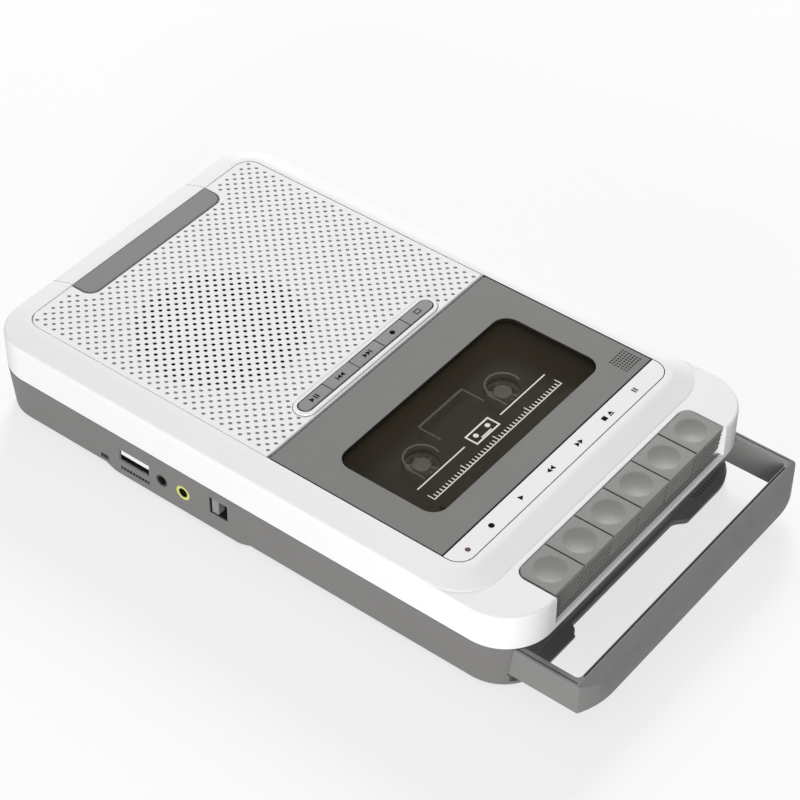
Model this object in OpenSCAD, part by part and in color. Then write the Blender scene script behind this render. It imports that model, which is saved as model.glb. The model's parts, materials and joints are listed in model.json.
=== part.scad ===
// Portable cassette recorder: a flat case with a speaker grille, a cassette lid,
// a row of piano keys and a carrying handle that pulls out of the front.
// X is to the user's right, Y runs from the keys to the speaker end, Z is up.
// The origin lies on the resting plane, midway along the case with its handle out.

/* [Case] */
// Width of the panel that grille, lid and label strip share
panel_w = 110.4; // [109.6:0.2:114]
// Length of the grille panel
grille_l = 102.6; // [102:0.2:106]
// Length of the label strip in front of the lid
strip_l = 7.4; // [7:0.1:9]
// Width of the rim beside and behind the panel
rim_w = 9.6; // [9.4:0.1:11]
// Width of the rim in front of the panel
rim_front = 10.4; // [10:0.1:12]
// Depth of the platform that the keys stand in
platform_l = 17; // [16.8:0.1:19]
// Height of the case without its feet
body_h = 34; // [34:0.1:37]
// Height of the base shell up to the seam
base_h = 17.5; // [17.3:0.1:18.5]
// Drop from the deck to the platform
deck_drop = 2.9; // [2.6:0.1:3.4]
// Width of the sloped edge of the deck
slope_w = 7.8; // [7:0.1:8.4]
// Wall thickness of both shells
wall = 1.8; // [1.6:0.1:2]
// Thickness of the base shell's floor
floor_t = 2; // [1.8:0.1:2.4]
// Thickness of the roof over the case's hollow
roof_t = 5.6; // [5.4:0.1:6]
// Plan radius of the deck's corners
deck_r = 15.3; // [14:0.1:17]
// Plan radius of the case's front corners
front_r = 17; // [15:0.1:18]
// Plan radius of the panel's corners
panel_r = 6; // [4:0.1:7]
// Inward lean of the base shell from seam to floor
base_taper = 2.4; // [1.8:0.1:2.6]
// Thickness of the grille panel and the label strip
plate_t = 1.5; // [1.2:0.1:1.7]
// Thickness of the shelf under the panels
shelf_t = 1.6; // [1.4:0.1:1.8]
// Clearance between separate mouldings
gap = 0.3; // [0.2:0.05:0.4]
// Radial clearance of a turning shaft
run_gap = 0.08; // [0.05:0.01:0.1]

/* [Grille and speaker] */
// Half the spacing of the grille holes
hole_step = 1.88; // [1.8:0.02:2.2]
// Diameter of a grille hole
hole_d = 1.3; // [1:0.05:1.5]
// Radius of the speaker's mouth
speaker_mouth_r = 27; // [25:0.1:27.4]
// Radius of the speaker's flange
speaker_r = 28.4; // [28:0.1:28.8]
// Speaker centre to the left of the case's centre line
speaker_x = -19; // [-21:0.1:-16]
// Speaker centre behind the front edge of the grille
speaker_y = 50; // [48:0.1:50.6]
// Depth of the speaker's basket
basket_h = 11; // [10:0.1:12]
// Radius of the speaker's magnet
magnet_r = 13; // [11:0.1:14]
// Height of the speaker's magnet
magnet_h = 7; // [5:0.1:8]

/* [Keys and buttons] */
// Spacing of the six piano keys
key_pitch = 15.1; // [14.8:0.05:15.4]
// Gap between neighbouring keys
key_gap = 0.5; // [0.4:0.05:0.8]
// Height of a key's front face
key_h = 9.9; // [9.5:0.1:10.1]
// Diameter of the finger dish in a key
dish_d = 11.3; // [10:0.1:12]
// Depth of the finger dish
dish_depth = 0.9; // [0.6:0.05:1.2]
// Radius of the key shaft
key_shaft_r = 1; // [0.8:0.05:1.2]
// Spacing of the five function buttons
button_pitch = 13.2; // [12.8:0.1:14]
// Width of a function button's row
button_w = 4.6; // [4.2:0.1:5]
// Height of the button rim above the panel
bezel_h = 0.5; // [0.3:0.05:0.7]
// Height of a button above the panel
button_h = 0.8; // [0.5:0.05:1]

/* [Lid and cassette] */
// Width of the window
window_w = 87.2; // [82:0.2:88]
// Length of the window
window_l = 39.2; // [36:0.2:39.6]
// Corner radius of the window
window_r = 5.5; // [3:0.1:6.5]
// Thickness of the lid
lid_t = 3.2; // [3:0.05:3.4]
// Radius of the lid's hinge pin
lid_pin_r = 0.7; // [0.6:0.02:0.8]
// Thickness of the window pane
pane_t = 1.4; // [1:0.1:1.6]
// Spacing of the cassette's hubs
hub_spacing = 42.5; // [42.3:0.1:42.7]
// Length of the cassette
cassette_l = 63.8; // [63.4:0.1:64.4]
// Room between the cassette and the front edge of the lid
cassette_front = 1.9; // [1.7:0.1:3]
// Room between the cassette and the rear edge of the lid
cassette_rear = 1.5; // [1.5:0.1:3]

/* [Handle] */
// How far the handle stands out of the case
handle_out = 22; // [18:0.1:22]
// Distance from the case's side to the handle's side
handle_inset = 5.2; // [5.1:0.1:5.6]
// Thickness of the handle's arms
arm_t = 2.9; // [2.4:0.1:3.1]
// Depth of the handle's bar
bar_t = 5.6; // [5:0.1:5.8]
// Height of the handle's underside above the base's underside
handle_lift = 5.5; // [5:0.1:6]
// Radius of the curve at each end of the handle's bar
handle_r = 27; // [24:0.5:40]
// Length of the curve at each end of the handle's bar
handle_curve = 13.6; // [10:0.1:15]

/* [Batteries and feet] */
// Half width of the battery door
bat_hw = 33; // [32.6:0.1:34]
// Length of the grip bar on the battery door
grip_l = 8.6; // [8:0.1:9]
// Height of the rubber feet below the base
foot_h = 0.8; // [0.6:0.1:1.4]
// Radius of the rubber feet
foot_r = 5; // [4:0.1:6]

/* [Hidden] */
$fn = 64;
white = "#f4f4f4";
grey = "#868686";
key_grey = "#8c8c88";
black = "#1c1a18";
steel = "#b8bcc0";
brass = "#c9a85a";
board_green = "#2f6b45";
over = 1;
bite = 0.5;

// Plan positions
body_hw = panel_w / 2 + rim_w;
lid_l = cassette_front + cassette_l + cassette_rear;
body_l = rim_w + grille_l + lid_l + strip_l + rim_front + platform_l;
y_rear = (body_l + handle_out) / 2;
y_panel_rear = y_rear - rim_w;
y_split = y_panel_rear - grille_l;
y_strip = y_split - lid_l;
y_panel_front = y_strip - strip_l;
y_crease = y_panel_front - rim_front;
y_front = y_crease - platform_l;
panel_hw = panel_w / 2;

// Heights
z_base = foot_h;
z_floor = z_base + floor_t;
z_seam = z_base + base_h;
z_top = z_base + body_h;
z_crease = z_top - deck_drop;
z_roof = z_top - roof_t;
z_plate = z_top - plate_t;
z_shelf = z_plate - shelf_t;
shelf_ledge = 2.2;
hollow_hw = panel_hw - shelf_ledge;

// Handle's arms and the ribs that guide them
handle_hw = body_hw - handle_inset;
arm_in = handle_hw - arm_t;
guide_t = 1.4;
guide_in = arm_in - gap - guide_t;

// Case screws: places, boss and screw sizes
screw_r = 1.3;
screw_head_r = 2.6;
screw_head_h = 2;
screw_seat = 3;
boss_r = 3.3;
boss_h = 6;
screw_grip = 7;
screw_rear = [8.3, 16.2];
screw_middle = [6.8, 14];
screw_front = [boss_r + bite, 14];
screw_places = [
  for (s = [-1, 1])
    for (p = [
      [body_hw - screw_rear[0], y_rear - screw_rear[1]],
      [body_hw - screw_middle[0], y_split - screw_middle[1]],
      [guide_in - screw_front[0], y_front + screw_front[1]]
    ])
      [s * p[0], p[1]]
];

// Battery compartment
box_t = 1.2;
bat_depth = 26.6;
bat_y1 = y_rear - wall - base_taper - gap;
bat_y0 = bat_y1 - bat_depth;
bat_h = z_roof - gap - z_floor;
cell_r = 7.25;
contact_t = 0.4;
contact_w = 9;
contact_spring = 2.6;
cell_low = [bat_y0 + box_t + cell_r, z_floor + box_t + cell_r];
cell_stagger = 10.9;
cell_high = [bat_y1 - box_t - cell_r, cell_low[1] + cell_stagger];
y_grip = y_panel_rear - grip_l;
grip_r = 4;

// Ports on the left wall
pad_x = -(body_hw - 0.2);
pad_y = [y_split + 6, y_split + 57];
pad_blend = 7;
pad_step = 2.4;
pad_root = 6;
board_t = 1.6;
z_board = z_floor + 2.8;
board_x = [-(body_hw - 3.9), -24];
board_y = [y_split + 4, y_split + 70];
board_posts = [
  [board_x[1] - 5, board_y[0] + 6], [board_x[1] - 5, board_y[1] - 6], [board_x[0] + 6, board_y[0] + 4]
];
usb_y = y_split + 48.5;
usb_w = 13.2;
usb_h = 5.9;
usb_skin = 0.5;
usb_tongue = 1.9;
usb_l = 14;
card_w = 11;
card_h = 1.4;
card_l = 13;
card_slot = 0.8;
jack_r = 3.1;
jack_bore_r = 1.8;
jack_w = 7;
jack_h = 6.6;
jack_l = 11;
socket_back = 2;
jack_z = z_board + board_t + jack_bore_r + gap;
mic_y = y_split + 36.8;
phone_y = y_split + 27.9;
switch_y = y_split + 13;
switch_w = 7.4;
switch_h = 6.6;
switch_z = z_floor + 8.5;
switch_l = 9;
knob_w = 2.8;
knob_travel = 3.2;
knob_in = 0.3;
knob_tail = 3;
wheel_r = 7;
wheel_t = 1.6;
wheel_out = 1.2;
wheel_slot = 12.6;
wheel_back = 62.4;
wheel_y = y_split + wheel_back;
wheel_axle_r = 1.5;
wheel_x = -(body_hw - base_taper + wheel_out - wheel_r);
z_wheel = z_floor + 0.4;
pot_w = 9;
pot_h = 4.4;

// Function buttons
button_y = y_split + 5.1;
button_row_hw = 5 * button_pitch / 2;
bezel_t = 1.4;
bezel_hw = button_row_hw + gap + bezel_t;
bezel_half = button_w / 2 + gap + bezel_t;
button_skirt = 1.3;
button_travel = 0.5;
stem_r = 1.4;
stem_l = 3.1;
tact_w = 6;
tact_h = 2.8;
z_tact = z_top - button_skirt - stem_l - button_travel - gap;
z_button_board = z_tact - tact_h - board_t;
button_board_hw = button_row_hw + 7;
button_board_half = 4;
button_post_r = 1.8;
button_post_in = 3;

// Lid and its hinge
lid_hw = panel_hw - 0.1;
hinge_r = lid_t / 2;
hinge_y = y_split - 0.2 - hinge_r;
hinge_z = z_top - hinge_r;
pin_reach = panel_hw + 2;
window_back = 36.6;
window_y = y_split - window_back;
window_sink = 1.2;
window_lap = 1.3;
mic_place = [panel_hw - 8.5, y_strip + 5];
mic_r = 3;
mic_h = 1.8;
mic_slots = 5;
mic_slot_w = 0.6;
mic_slot_l = 7;
mic_slot_step = 1.4;
led_place = [-panel_hw + 6.7, y_strip - 4.3];
led_r = 0.8;
led_flange_r = 1.7;
led_h = 1.2;

// Tape deck
cassette_w = 100.4;
cassette_t = 8.7;
cassette_full_t = 12;
cassette_y0 = y_strip + cassette_front;
cassette_y1 = cassette_y0 + cassette_l;
cassette_skin = 1.3;
full_hw = 34;
full_l = 15;
hub_front = 31.8;
hub_y = cassette_y0 + hub_front;
hub_hole_r = 5.6;
hub_r = 10.6;
hub_bore_r = 5;
mouth_l = 12.4;
roller_mouth = [25, 43.4];
cassette_rim = 2;
chassis_t = 1.2;
chassis_side = 2.7;
chassis_hw = guide_in - chassis_side;
z_chassis = z_floor + 11.6;
z_cassette = z_chassis + 3.85;
z_full = z_cassette - (cassette_full_t - cassette_t) / 2;
chassis_y = [y_strip - 8.6, y_split - 2];
rest_r = 2;
rest_places = [
  for (s = [-1, 1])
    for (p = [[40, cassette_y1 - 8], [44, cassette_y0 + 20]])
      [s * p[0], p[1]]
];
spindle_r = 3;
spindle_axle_r = 1.5;
spindle_flange_r = 9;
spindle_flange_t = 1.3;
fin_reach = 4.4;
fin_w = 1;
tooth_w = 1.2;
capstan_r = 1;
capstan_place = [33, cassette_y0 + 9];
capstan_hole_r = 3;
bush_r = 3.4;
bush_z = [z_chassis - 2.6, z_chassis + 1.4];
flywheel_side = 2;
flywheel_r = guide_in - flywheel_side - capstan_place[0];
flywheel_t = 6.2;
z_flywheel = z_floor + 1.4;
z_capstan = z_floor + 0.5;
motor_place = [38, y_split + 22];
motor_r = 12;
motor_h = 14.4;
motor_rim = 1;
motor_shaft_r = 1;
pulley_r = 3;
pulley_flange_r = 4.2;
pulley_flange_t = 0.5;
belt_t = 0.8;
belt_h = 1.8;
belt_slack = 0.06;
belt_steps = 40;
z_belt = z_flywheel + 2.2;
mount_x = [24, chassis_hw];
mount_y1 = motor_place[1] + motor_r + motor_rim;
post_r = 2.6;
chassis_posts = [
  [6.3 - chassis_hw, y_strip + 1], [6.3 - chassis_hw, y_split - 12],
  [chassis_hw - 2.3, y_split - 8], [38, y_split - 28]
];
chassis_screw_r = 1.1;
chassis_head_r = 2.2;
chassis_head_h = 1.4;
chassis_grip = 6;

// Heads and pinch roller
slide_t = 1.1;
slide_x = [-21, 20];
slide_l = 9.4;
slide_y1 = cassette_y0 - 1;
slide_travel = 6;
z_slide = z_chassis + run_gap;
head_w = 12;
erase_w = 5;
erase_x = -14;
head_l = 7;
head_h = 11;
head_back = 1.3;
pinch_pivot = [45, cassette_y0 - 3.4];
pinch_r = 4.5;
pinch_h = 7;
pinch_place = [33, cassette_y0 - 5];
pinch_arm_w = 4;
pinch_arm_t = 1;
pinch_axle_r = 1;
pinch_post_r = 1.4;
z_arm = z_chassis + 2.4;

// Piano keys
bay_hw = 3 * key_pitch + gap;
bay_r = 4;
bay_back = 1.2;
key_w = key_pitch - key_gap;
key_top_drop = 2.7;
key_front = 1;
key_lean = 1;
key_rear_gap = 0.4;
z_key_top = z_top - key_top_drop;
z_key_bottom = z_key_top - key_h;
sill_drop = 14.3;
sill_t = 1.1;
z_sill = z_top - sill_drop;
y_key_front = y_front + key_front;
y_key_rear = y_crease - bay_back - key_rear_gap;
dish_r = (dish_d * dish_d / 4 + dish_depth * dish_depth) / (2 * dish_depth);
dish_y = (y_key_front + y_key_rear) / 2;
lever_w = 9;
y_pivot = y_crease + 6;
z_pivot = z_key_bottom - 1.4;
lever_z = [z_pivot - 1, z_key_bottom + 3.1];
pivot_boss_r = 2.4;
rib_count = 4;
rib_h = 0.8;
rib_deep = 0.5;
rib_step = 1.9;
ear_x = [3 * key_pitch + 2.4, 3 * key_pitch + 4.4];
ear_half = 2.6;
finger_w = 5;
finger_t = 0.4;
spring_depth = 4;

// Handle
handle_z = [z_base + handle_lift, z_seam - gap];
y_handle = y_front - handle_out;
pocket_gap = 0.5;
arm_reach = 36;
slot_reach = 10;
y_pocket = y_handle + bar_t + handle_out + pocket_gap;
arm_end = y_pocket + arm_reach;
bar_inner_r = 1.6;
bar_flat = 1.4;
bar_slope = 2.6;
bar_fall = 5.5;
bar_nose = 0.8;
lug_l = 4;
lug_out = 1.5;
lip_back = 5;
lip_left = -29;
lip_right = 25.6;
lip_blend = 7.7;
lip_steps = 8;
lip_r = 3;
lip_ribs = 8;
lip_rib_h = 0.4;
lip_rib_w = 0.6;
lip_rib_step = 1.5;
lip_rib_x = 38.5;

// Feet
foot_sink = 0.7;
foot_side = 18.8;
foot_rear = 34;
foot_front = 27;
foot_places = [
  for (s = [-1, 1])
    for (y = [y_rear - foot_rear, y_front + foot_front])
      [s * (body_hw - foot_side), y]
];

// Shapes shared by several pieces
module box(x, y, z) {
  translate([x[0], y[0], z[0]])
    cube([x[1] - x[0], y[1] - y[0], z[1] - z[0]]);
}

module post(p, z, r) {
  translate([p[0], p[1], z[0]])
    cylinder(r = r, h = z[1] - z[0]);
}

module rod_x(x, y, z, r) {
  translate([x[0], y, z])
    rotate([0, 90, 0])
      cylinder(r = r, h = x[1] - x[0]);
}

module along_x(x) {
  translate([x[0], 0, 0])
    rotate([90, 0, 90])
      linear_extrude(height = x[1] - x[0])
        children();
}

module along_y(y) {
  translate([0, y[1], 0])
    rotate([90, 0, 0])
      linear_extrude(height = y[1] - y[0])
        children();
}

module plate(z) {
  translate([0, 0, z[0]])
    linear_extrude(height = z[1] - z[0])
      children();
}

// Flat rectangle whose front and rear corners have their own radii
module rounded(x, y, rf, rr) {
  intersection() {
    translate([x[0], y[0]])
      square([x[1] - x[0], y[1] - y[0]]);
    union() {
      translate([x[0], y[0] + rf])
        square([x[1] - x[0], y[1] - y[0] - rf - rr]);
      if (rf > 0) {
        translate([x[0] + rf, y[0]])
          square([x[1] - x[0] - 2 * rf, y[1] - y[0] - rr]);
        for (cx = [x[0] + rf, x[1] - rf])
          translate([cx, y[0] + rf])
            circle(r = rf);
      }
      if (rr > 0) {
        translate([x[0] + rr, y[0] + rf])
          square([x[1] - x[0] - 2 * rr, y[1] - y[0] - rf]);
        for (cx = [x[0] + rr, x[1] - rr])
          translate([cx, y[1] - rr])
            circle(r = rr);
      }
    }
  }
}

// Block with rounded plan corners whose walls lean in by d from z[0] to z[1]
module leaning_block(hw, y, rf, rr, d, z) {
  h = z[1] - z[0];
  along_y([y[0] + rf, y[1] - rr])
    polygon([[-hw, z[0]], [hw, z[0]], [hw - d, z[1]], [d - hw, z[1]]]);
  along_x([rf - hw, hw - rf])
    polygon([[y[0], z[0]], [y[0] + 2 * rf, z[0]], [y[0] + 2 * rf, z[1]], [y[0] + d, z[1]]]);
  along_x([rr - hw, hw - rr])
    polygon([[y[1], z[0]], [y[1] - d, z[1]], [y[1] - 2 * rr, z[1]], [y[1] - 2 * rr, z[0]]]);
  for (s = [-1, 1]) {
    translate([s * (hw - rf), y[0] + rf, z[0]])
      cylinder(r1 = rf, r2 = rf - d, h = h);
    translate([s * (hw - rr), y[1] - rr, z[0]])
      cylinder(r1 = rr, r2 = rr - d, h = h);
  }
}

// Stadium outline of the function button row
module button_outline(hw, half) {
  rounded([-hw, hw], [button_y - half, button_y + half], half - 0.01, half - 0.01);
}

// Top cover
module cover_outer() {
  leaning_block(body_hw, [y_front, y_rear], front_r, deck_r, 0, [z_seam, z_crease]);
  leaning_block(body_hw, [y_crease, y_rear], deck_r, deck_r, slope_w, [z_crease, z_top]);
}

module cover_hollow() {
  leaning_block(body_hw - wall, [y_front + wall, y_rear - wall], front_r - wall, deck_r - wall, 0,
    [z_seam - over, z_roof]);
  box([-hollow_hw, hollow_hw], [y_panel_front + over, y_panel_rear - over], [z_roof - over, z_shelf]);
}

module bay_outline(inset) {
  rounded([inset - bay_hw, bay_hw - inset], [y_front - over, y_crease - bay_back - inset], 0, bay_r);
}

module top_cover() {
  color(white)
    difference() {
      union() {
        difference() {
          cover_outer();
          cover_hollow();
        }
        for (x = [-bay_hw - wall, bay_hw])
          box([x, x + wall], [y_front + wall - bite, y_crease + over], [z_seam, z_roof + bite]);
        for (p = screw_places)
          post(p, [z_floor + boss_h, z_roof + bite], boss_r);
        for (s = [-1, 1])
          post([s * (button_board_hw - button_post_in), button_y], [z_button_board + board_t, z_shelf + bite],
            button_post_r);
      }
      plate([z_plate, z_top + over])
        rounded([-panel_hw - gap, panel_hw + gap], [y_panel_front - gap, y_panel_rear + gap],
          panel_r, panel_r);
      box([-panel_hw - gap, panel_hw + gap], [y_strip - gap, y_split + gap / 2],
        [z_top - lid_t - gap, z_top + over]);
      box([-cassette_w / 2 - over, cassette_w / 2 + over], [y_strip + over, y_split - gap],
        [z_roof - over, z_top]);
      plate([z_sill, z_top])
        bay_outline(0);
      box([-bay_hw, bay_hw], [y_front + sill_t, y_front + wall + over], [z_seam - over, z_sill + over]);
      box([-bat_hw, bat_hw], [y_grip, y_rear + over], [z_seam - over, z_top + over]);
      post([speaker_x, y_split + speaker_y], [z_roof, z_top], speaker_mouth_r);
      plate([z_roof, z_top])
        button_outline(bezel_hw - bezel_t, bezel_half - bezel_t);
      post(led_place, [z_roof, z_top], led_r + run_gap);
      for (p = screw_places)
        post(p, [z_floor, z_floor + boss_h + screw_grip], screw_r);
      rod_x([-pin_reach, pin_reach], hinge_y, hinge_z, lid_pin_r);
    }
}

// Base shell
module base_outer() {
  leaning_block(body_hw - base_taper, [y_front + base_taper, y_rear - base_taper], front_r - base_taper,
    deck_r - base_taper, -base_taper, [z_base, z_seam]);
}

module port_pad() {
  plate([z_base, z_seam])
    polygon([
      [pad_x, pad_y[0]],
      [pad_x, pad_y[1]],
      [pad_x + pad_step, pad_y[1] + pad_blend],
      [pad_x + pad_root, pad_y[1] + pad_blend],
      [pad_x + pad_root, pad_y[0] - pad_blend],
      [pad_x + pad_step, pad_y[0] - pad_blend]
    ]);
}

module base_hollow() {
  inset = base_taper + wall;
  leaning_block(body_hw - inset, [y_front + inset, y_rear - inset], front_r - inset, deck_r - inset,
    -base_taper, [z_floor, z_seam + over]);
}

// Cut that leaves the floor lip as two tabs, the right one with a curved shoulder
module lip_recess() {
  y_back = y_front + lip_back;
  y_tab = y_front + base_taper / 2;
  plate([z_base - over, z_floor + over])
    polygon(concat(
      [[lip_left, y_front - over], [lip_left, y_back]],
      [for (t = [0:lip_steps])
        [lip_right + lip_blend * t / lip_steps,
          y_back + (y_tab - over - y_back) * (1 - cos(180 * t / lip_steps)) / 2]],
      [[lip_right + lip_blend, y_front - over]]
    ));
  plate([z_base - over, z_floor + over])
    difference() {
      translate([lip_left - lip_r, y_front - over])
        square([lip_r + over, lip_r + over + base_taper]);
      translate([lip_left - lip_r, y_front + base_taper + lip_r])
        circle(r = lip_r);
    }
}

module base_shell() {
  guide_y = [y_pocket, arm_end - lug_l - gap];
  color(grey)
    difference() {
      union() {
        difference() {
          union() {
            base_outer();
            port_pad();
          }
          base_hollow();
        }
        box([-arm_in - bite, arm_in + bite], [y_pocket, y_pocket + wall], [z_floor - bite, z_seam]);
        for (x = [-guide_in - guide_t, guide_in])
          box([x, x + guide_t], guide_y, [z_floor - bite, z_seam - over]);
        for (p = screw_places)
          post(p, [z_floor - bite, z_floor + boss_h], boss_r);
        for (p = chassis_posts)
          post(p, [z_floor - bite, z_chassis - chassis_t], post_r);
        for (p = board_posts)
          post(p, [z_floor - bite, z_board], post_r);
        for (i = [0:lip_ribs - 1])
          box([lip_rib_x + i * lip_rib_step, lip_rib_x + i * lip_rib_step + lip_rib_w],
            [y_front + base_taper + bite, y_pocket + bite], [z_floor - bite, z_floor + lip_rib_h]);
      }
      box([-handle_hw - gap, handle_hw + gap], [y_front - over, y_pocket],
        [z_floor + lip_rib_h, z_seam + over]);
      box([-handle_hw - gap, lip_rib_x - over], [y_front - over, y_pocket], [z_floor, z_seam + over]);
      for (s = [-1, 1]) {
        arm_slot(s, arm_in - gap, y_pocket + slot_reach);
        arm_slot(s, arm_in - bar_inner_r - gap, y_pocket + wall + over);
      }
      lip_recess();
      side_cut(usb_y, z_board + board_t + usb_h / 2, usb_w + gap, usb_h + gap);
      side_cut(usb_y, z_board - card_h / 2, card_w, card_slot);
      for (y = [mic_y, phone_y])
        rod_x([pad_x - over, pad_x + pad_root], y, jack_z, jack_r);
      side_cut(switch_y, switch_z, switch_w, switch_h);
      side_cut(wheel_y, z_wheel + wheel_t / 2, wheel_slot, wheel_t + 2 * gap);
      for (p = screw_places) {
        post(p, [z_base - over, z_base + screw_seat], screw_head_r + gap);
        post(p, [z_base, z_floor + boss_h + over], screw_r + run_gap);
      }
      for (p = chassis_posts)
        post(p, [z_chassis - chassis_t - chassis_grip, z_chassis], chassis_screw_r);
      for (p = foot_places)
        post(p, [z_base - over, z_base + foot_sink], foot_r);
    }
}

// Way for one of the handle's arms, from x_in out to past the arm
module arm_slot(s, x_in, y_end) {
  x_out = handle_hw + gap;
  box([min(s * x_in, s * x_out), max(s * x_in, s * x_out)], [y_front - over, y_end],
    [handle_z[0] - gap, z_seam + over]);
}

// Rectangular cut through the left wall
module side_cut(y, z, w, h) {
  box([pad_x - over, pad_x + pad_root], [y - w / 2, y + w / 2], [z - h / 2, z + h / 2]);
}

// Panels on the deck
function in_mouth(x, y) = norm([x - speaker_x, y - speaker_y]) < speaker_mouth_r - hole_d;

module grille_holes() {
  for (j = [0:floor(grille_l / hole_step)])
    for (i = [-floor(panel_hw / hole_step):floor(panel_hw / hole_step)])
      if ((i + j) % 2 != 0 && in_mouth(i * hole_step, j * hole_step))
        translate([i * hole_step, y_split + j * hole_step])
          circle(d = hole_d);
}

module grip_outline(inset) {
  rounded([inset - bat_hw, bat_hw - inset], [y_grip + inset, y_panel_rear + over], grip_r, 0);
}

module grille_panel() {
  color(white) {
    plate([z_plate, z_top])
      difference() {
        rounded([-panel_hw, panel_hw], [y_split + gap, y_panel_rear], 0, panel_r);
        grip_outline(-gap);
        button_outline(bezel_hw - bezel_t, bezel_half - bezel_t);
        grille_holes();
      }
    plate([z_top, z_top + bezel_h])
      difference() {
        button_outline(bezel_hw, bezel_half);
        button_outline(bezel_hw - bezel_t, bezel_half - bezel_t);
      }
  }
}

module label_strip() {
  color(white)
    difference() {
      plate([z_plate, z_top])
        rounded([-panel_hw, panel_hw], [y_panel_front, y_strip - gap], panel_r - gap, 0);
      post(led_place, [z_plate - over, z_top + over], led_r + run_gap);
    }
}

module status_led() {
  color("#c03028") {
    post(led_place, [z_shelf - bite, z_top], led_r);
    post(led_place, [z_shelf - led_h, z_shelf], led_flange_r);
  }
}

// Battery compartment
module battery_door() {
  color(white) {
    intersection() {
      difference() {
        cover_outer();
        cover_hollow();
      }
      box([gap - bat_hw, bat_hw - gap], [y_panel_rear + gap, y_rear + over], [z_seam + gap, z_top + over]);
    }
    box([gap - bat_hw, bat_hw - gap], [y_grip + gap, y_panel_rear + over], [z_shelf, z_plate]);
  }
}

module battery_grip() {
  color(grey)
    plate([z_plate, z_top])
      intersection() {
        grip_outline(gap);
        translate([-bat_hw, y_grip])
          square([2 * bat_hw, grip_l]);
      }
}

module battery_box() {
  color(black)
    difference() {
      box([-bat_hw - box_t, bat_hw + box_t], [bat_y0, bat_y1], [z_floor, z_floor + bat_h]);
      box([-bat_hw, bat_hw], [bat_y0 + box_t, bat_y1 - box_t], [z_floor + box_t, z_floor + bat_h + over]);
    }
}

// Flat contacts on the left wall, bowed spring contacts on the right wall
module battery_contacts() {
  color(steel)
    for (c = [cell_low, cell_high]) {
      box([-bat_hw, contact_t - bat_hw], [c[0] - contact_w / 2, c[0] + contact_w / 2],
        [c[1] - contact_w / 2, c[1] + contact_w / 2]);
      along_y([c[0] - contact_w / 2, c[0] + contact_w / 2])
        polygon([
          [bat_hw, c[1] - contact_w / 2],
          [bat_hw, c[1] + contact_w / 2],
          [bat_hw - contact_t, c[1] + contact_w / 2],
          [bat_hw - contact_spring, c[1]],
          [bat_hw - contact_t, c[1] - contact_w / 2],
          [bat_hw - contact_t / 2, c[1] - contact_w / 2 + contact_t],
          [bat_hw - contact_spring + contact_t, c[1]],
          [bat_hw - contact_t / 2, c[1] + contact_w / 2 - contact_t],
          [bat_hw - contact_t / 2, c[1] - contact_w / 2 + 2 * contact_t]
        ]);
    }
}

// Speaker, drawn below the shelf that it is fixed to
module at_speaker() {
  translate([speaker_x, y_split + speaker_y, z_shelf])
    children();
}

flange_t = 1.2;
surround_r = speaker_mouth_r - 1.4;
surround_t = 0.4;
surround_w = 2;
cone_low = 3;
cone_t = 0.7;
dome_h = 1.5;
basket_neck_r = magnet_r + 1.4;

module speaker_basket() {
  color(steel)
    at_speaker()
      rotate_extrude()
        polygon([
          [surround_r, 0],
          [speaker_r, 0],
          [speaker_r, -flange_t],
          [surround_r + flange_t, -flange_t],
          [basket_neck_r, -basket_h],
          [magnet_r / 3, -basket_h],
          [magnet_r / 3, flange_t - basket_h],
          [basket_neck_r - flange_t / 2, flange_t - basket_h],
          [surround_r, -surround_t]
        ]);
}

module speaker_cone() {
  color(black)
    at_speaker()
      rotate_extrude()
        polygon([
          [surround_r - run_gap, 0],
          [surround_r - run_gap, -surround_t],
          [surround_r - surround_w, -2 * surround_t],
          [surround_r / 3, cone_low - basket_h],
          [0, cone_low + dome_h - basket_h],
          [0, cone_low + dome_h + cone_t - basket_h],
          [surround_r / 3, cone_low + cone_t - basket_h],
          [surround_r - surround_w - surround_t, 0]
        ]);
}

module speaker_magnet() {
  color("#55585c")
    at_speaker()
      translate([0, 0, -basket_h - magnet_h])
        cylinder(r = magnet_r, h = magnet_h);
}

// Boards and sockets
module main_board() {
  color(board_green)
    difference() {
      box(board_x, board_y, [z_board, z_board + board_t]);
      post([wheel_x, wheel_y], [z_board - over, z_board + board_t + over], wheel_axle_r + gap);
    }
}

module button_board() {
  color(board_green) {
    box([-button_board_hw, button_board_hw], [button_y - button_board_half, button_y + button_board_half],
      [z_button_board, z_button_board + board_t]);
    for (i = [0:4])
      box([button_x(i) - tact_w / 2, button_x(i) + tact_w / 2],
        [button_y - tact_w / 2, button_y + tact_w / 2],
        [z_button_board + board_t - bite, z_tact]);
  }
}

module usb_socket() {
  z0 = z_board + board_t;
  color(steel)
    difference() {
      box([pad_x + gap, pad_x + usb_l], [usb_y - usb_w / 2, usb_y + usb_w / 2], [z0, z0 + usb_h]);
      difference() {
        box([pad_x - over, pad_x + usb_l - socket_back],
          [usb_y - usb_w / 2 + usb_skin, usb_y + usb_w / 2 - usb_skin],
          [z0 + usb_skin, z0 + usb_h - usb_skin]);
        box([pad_x + over, pad_x + usb_l], [usb_y - usb_w / 2 + over, usb_y + usb_w / 2 - over],
          [z0 + usb_h / 2, z0 + usb_h / 2 + usb_tongue]);
      }
    }
}

module card_socket() {
  color(black)
    difference() {
      box([board_x[0] + gap, board_x[0] + card_l], [usb_y - card_w / 2 - bite, usb_y + card_w / 2 + bite],
        [z_board - card_h, z_board]);
      box([board_x[0] - over, board_x[0] + card_l - socket_back], [usb_y - card_w / 2, usb_y + card_w / 2],
        [z_board - card_h / 2 - card_slot / 2, z_board - card_h / 2 + card_slot / 2]);
    }
}

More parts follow.
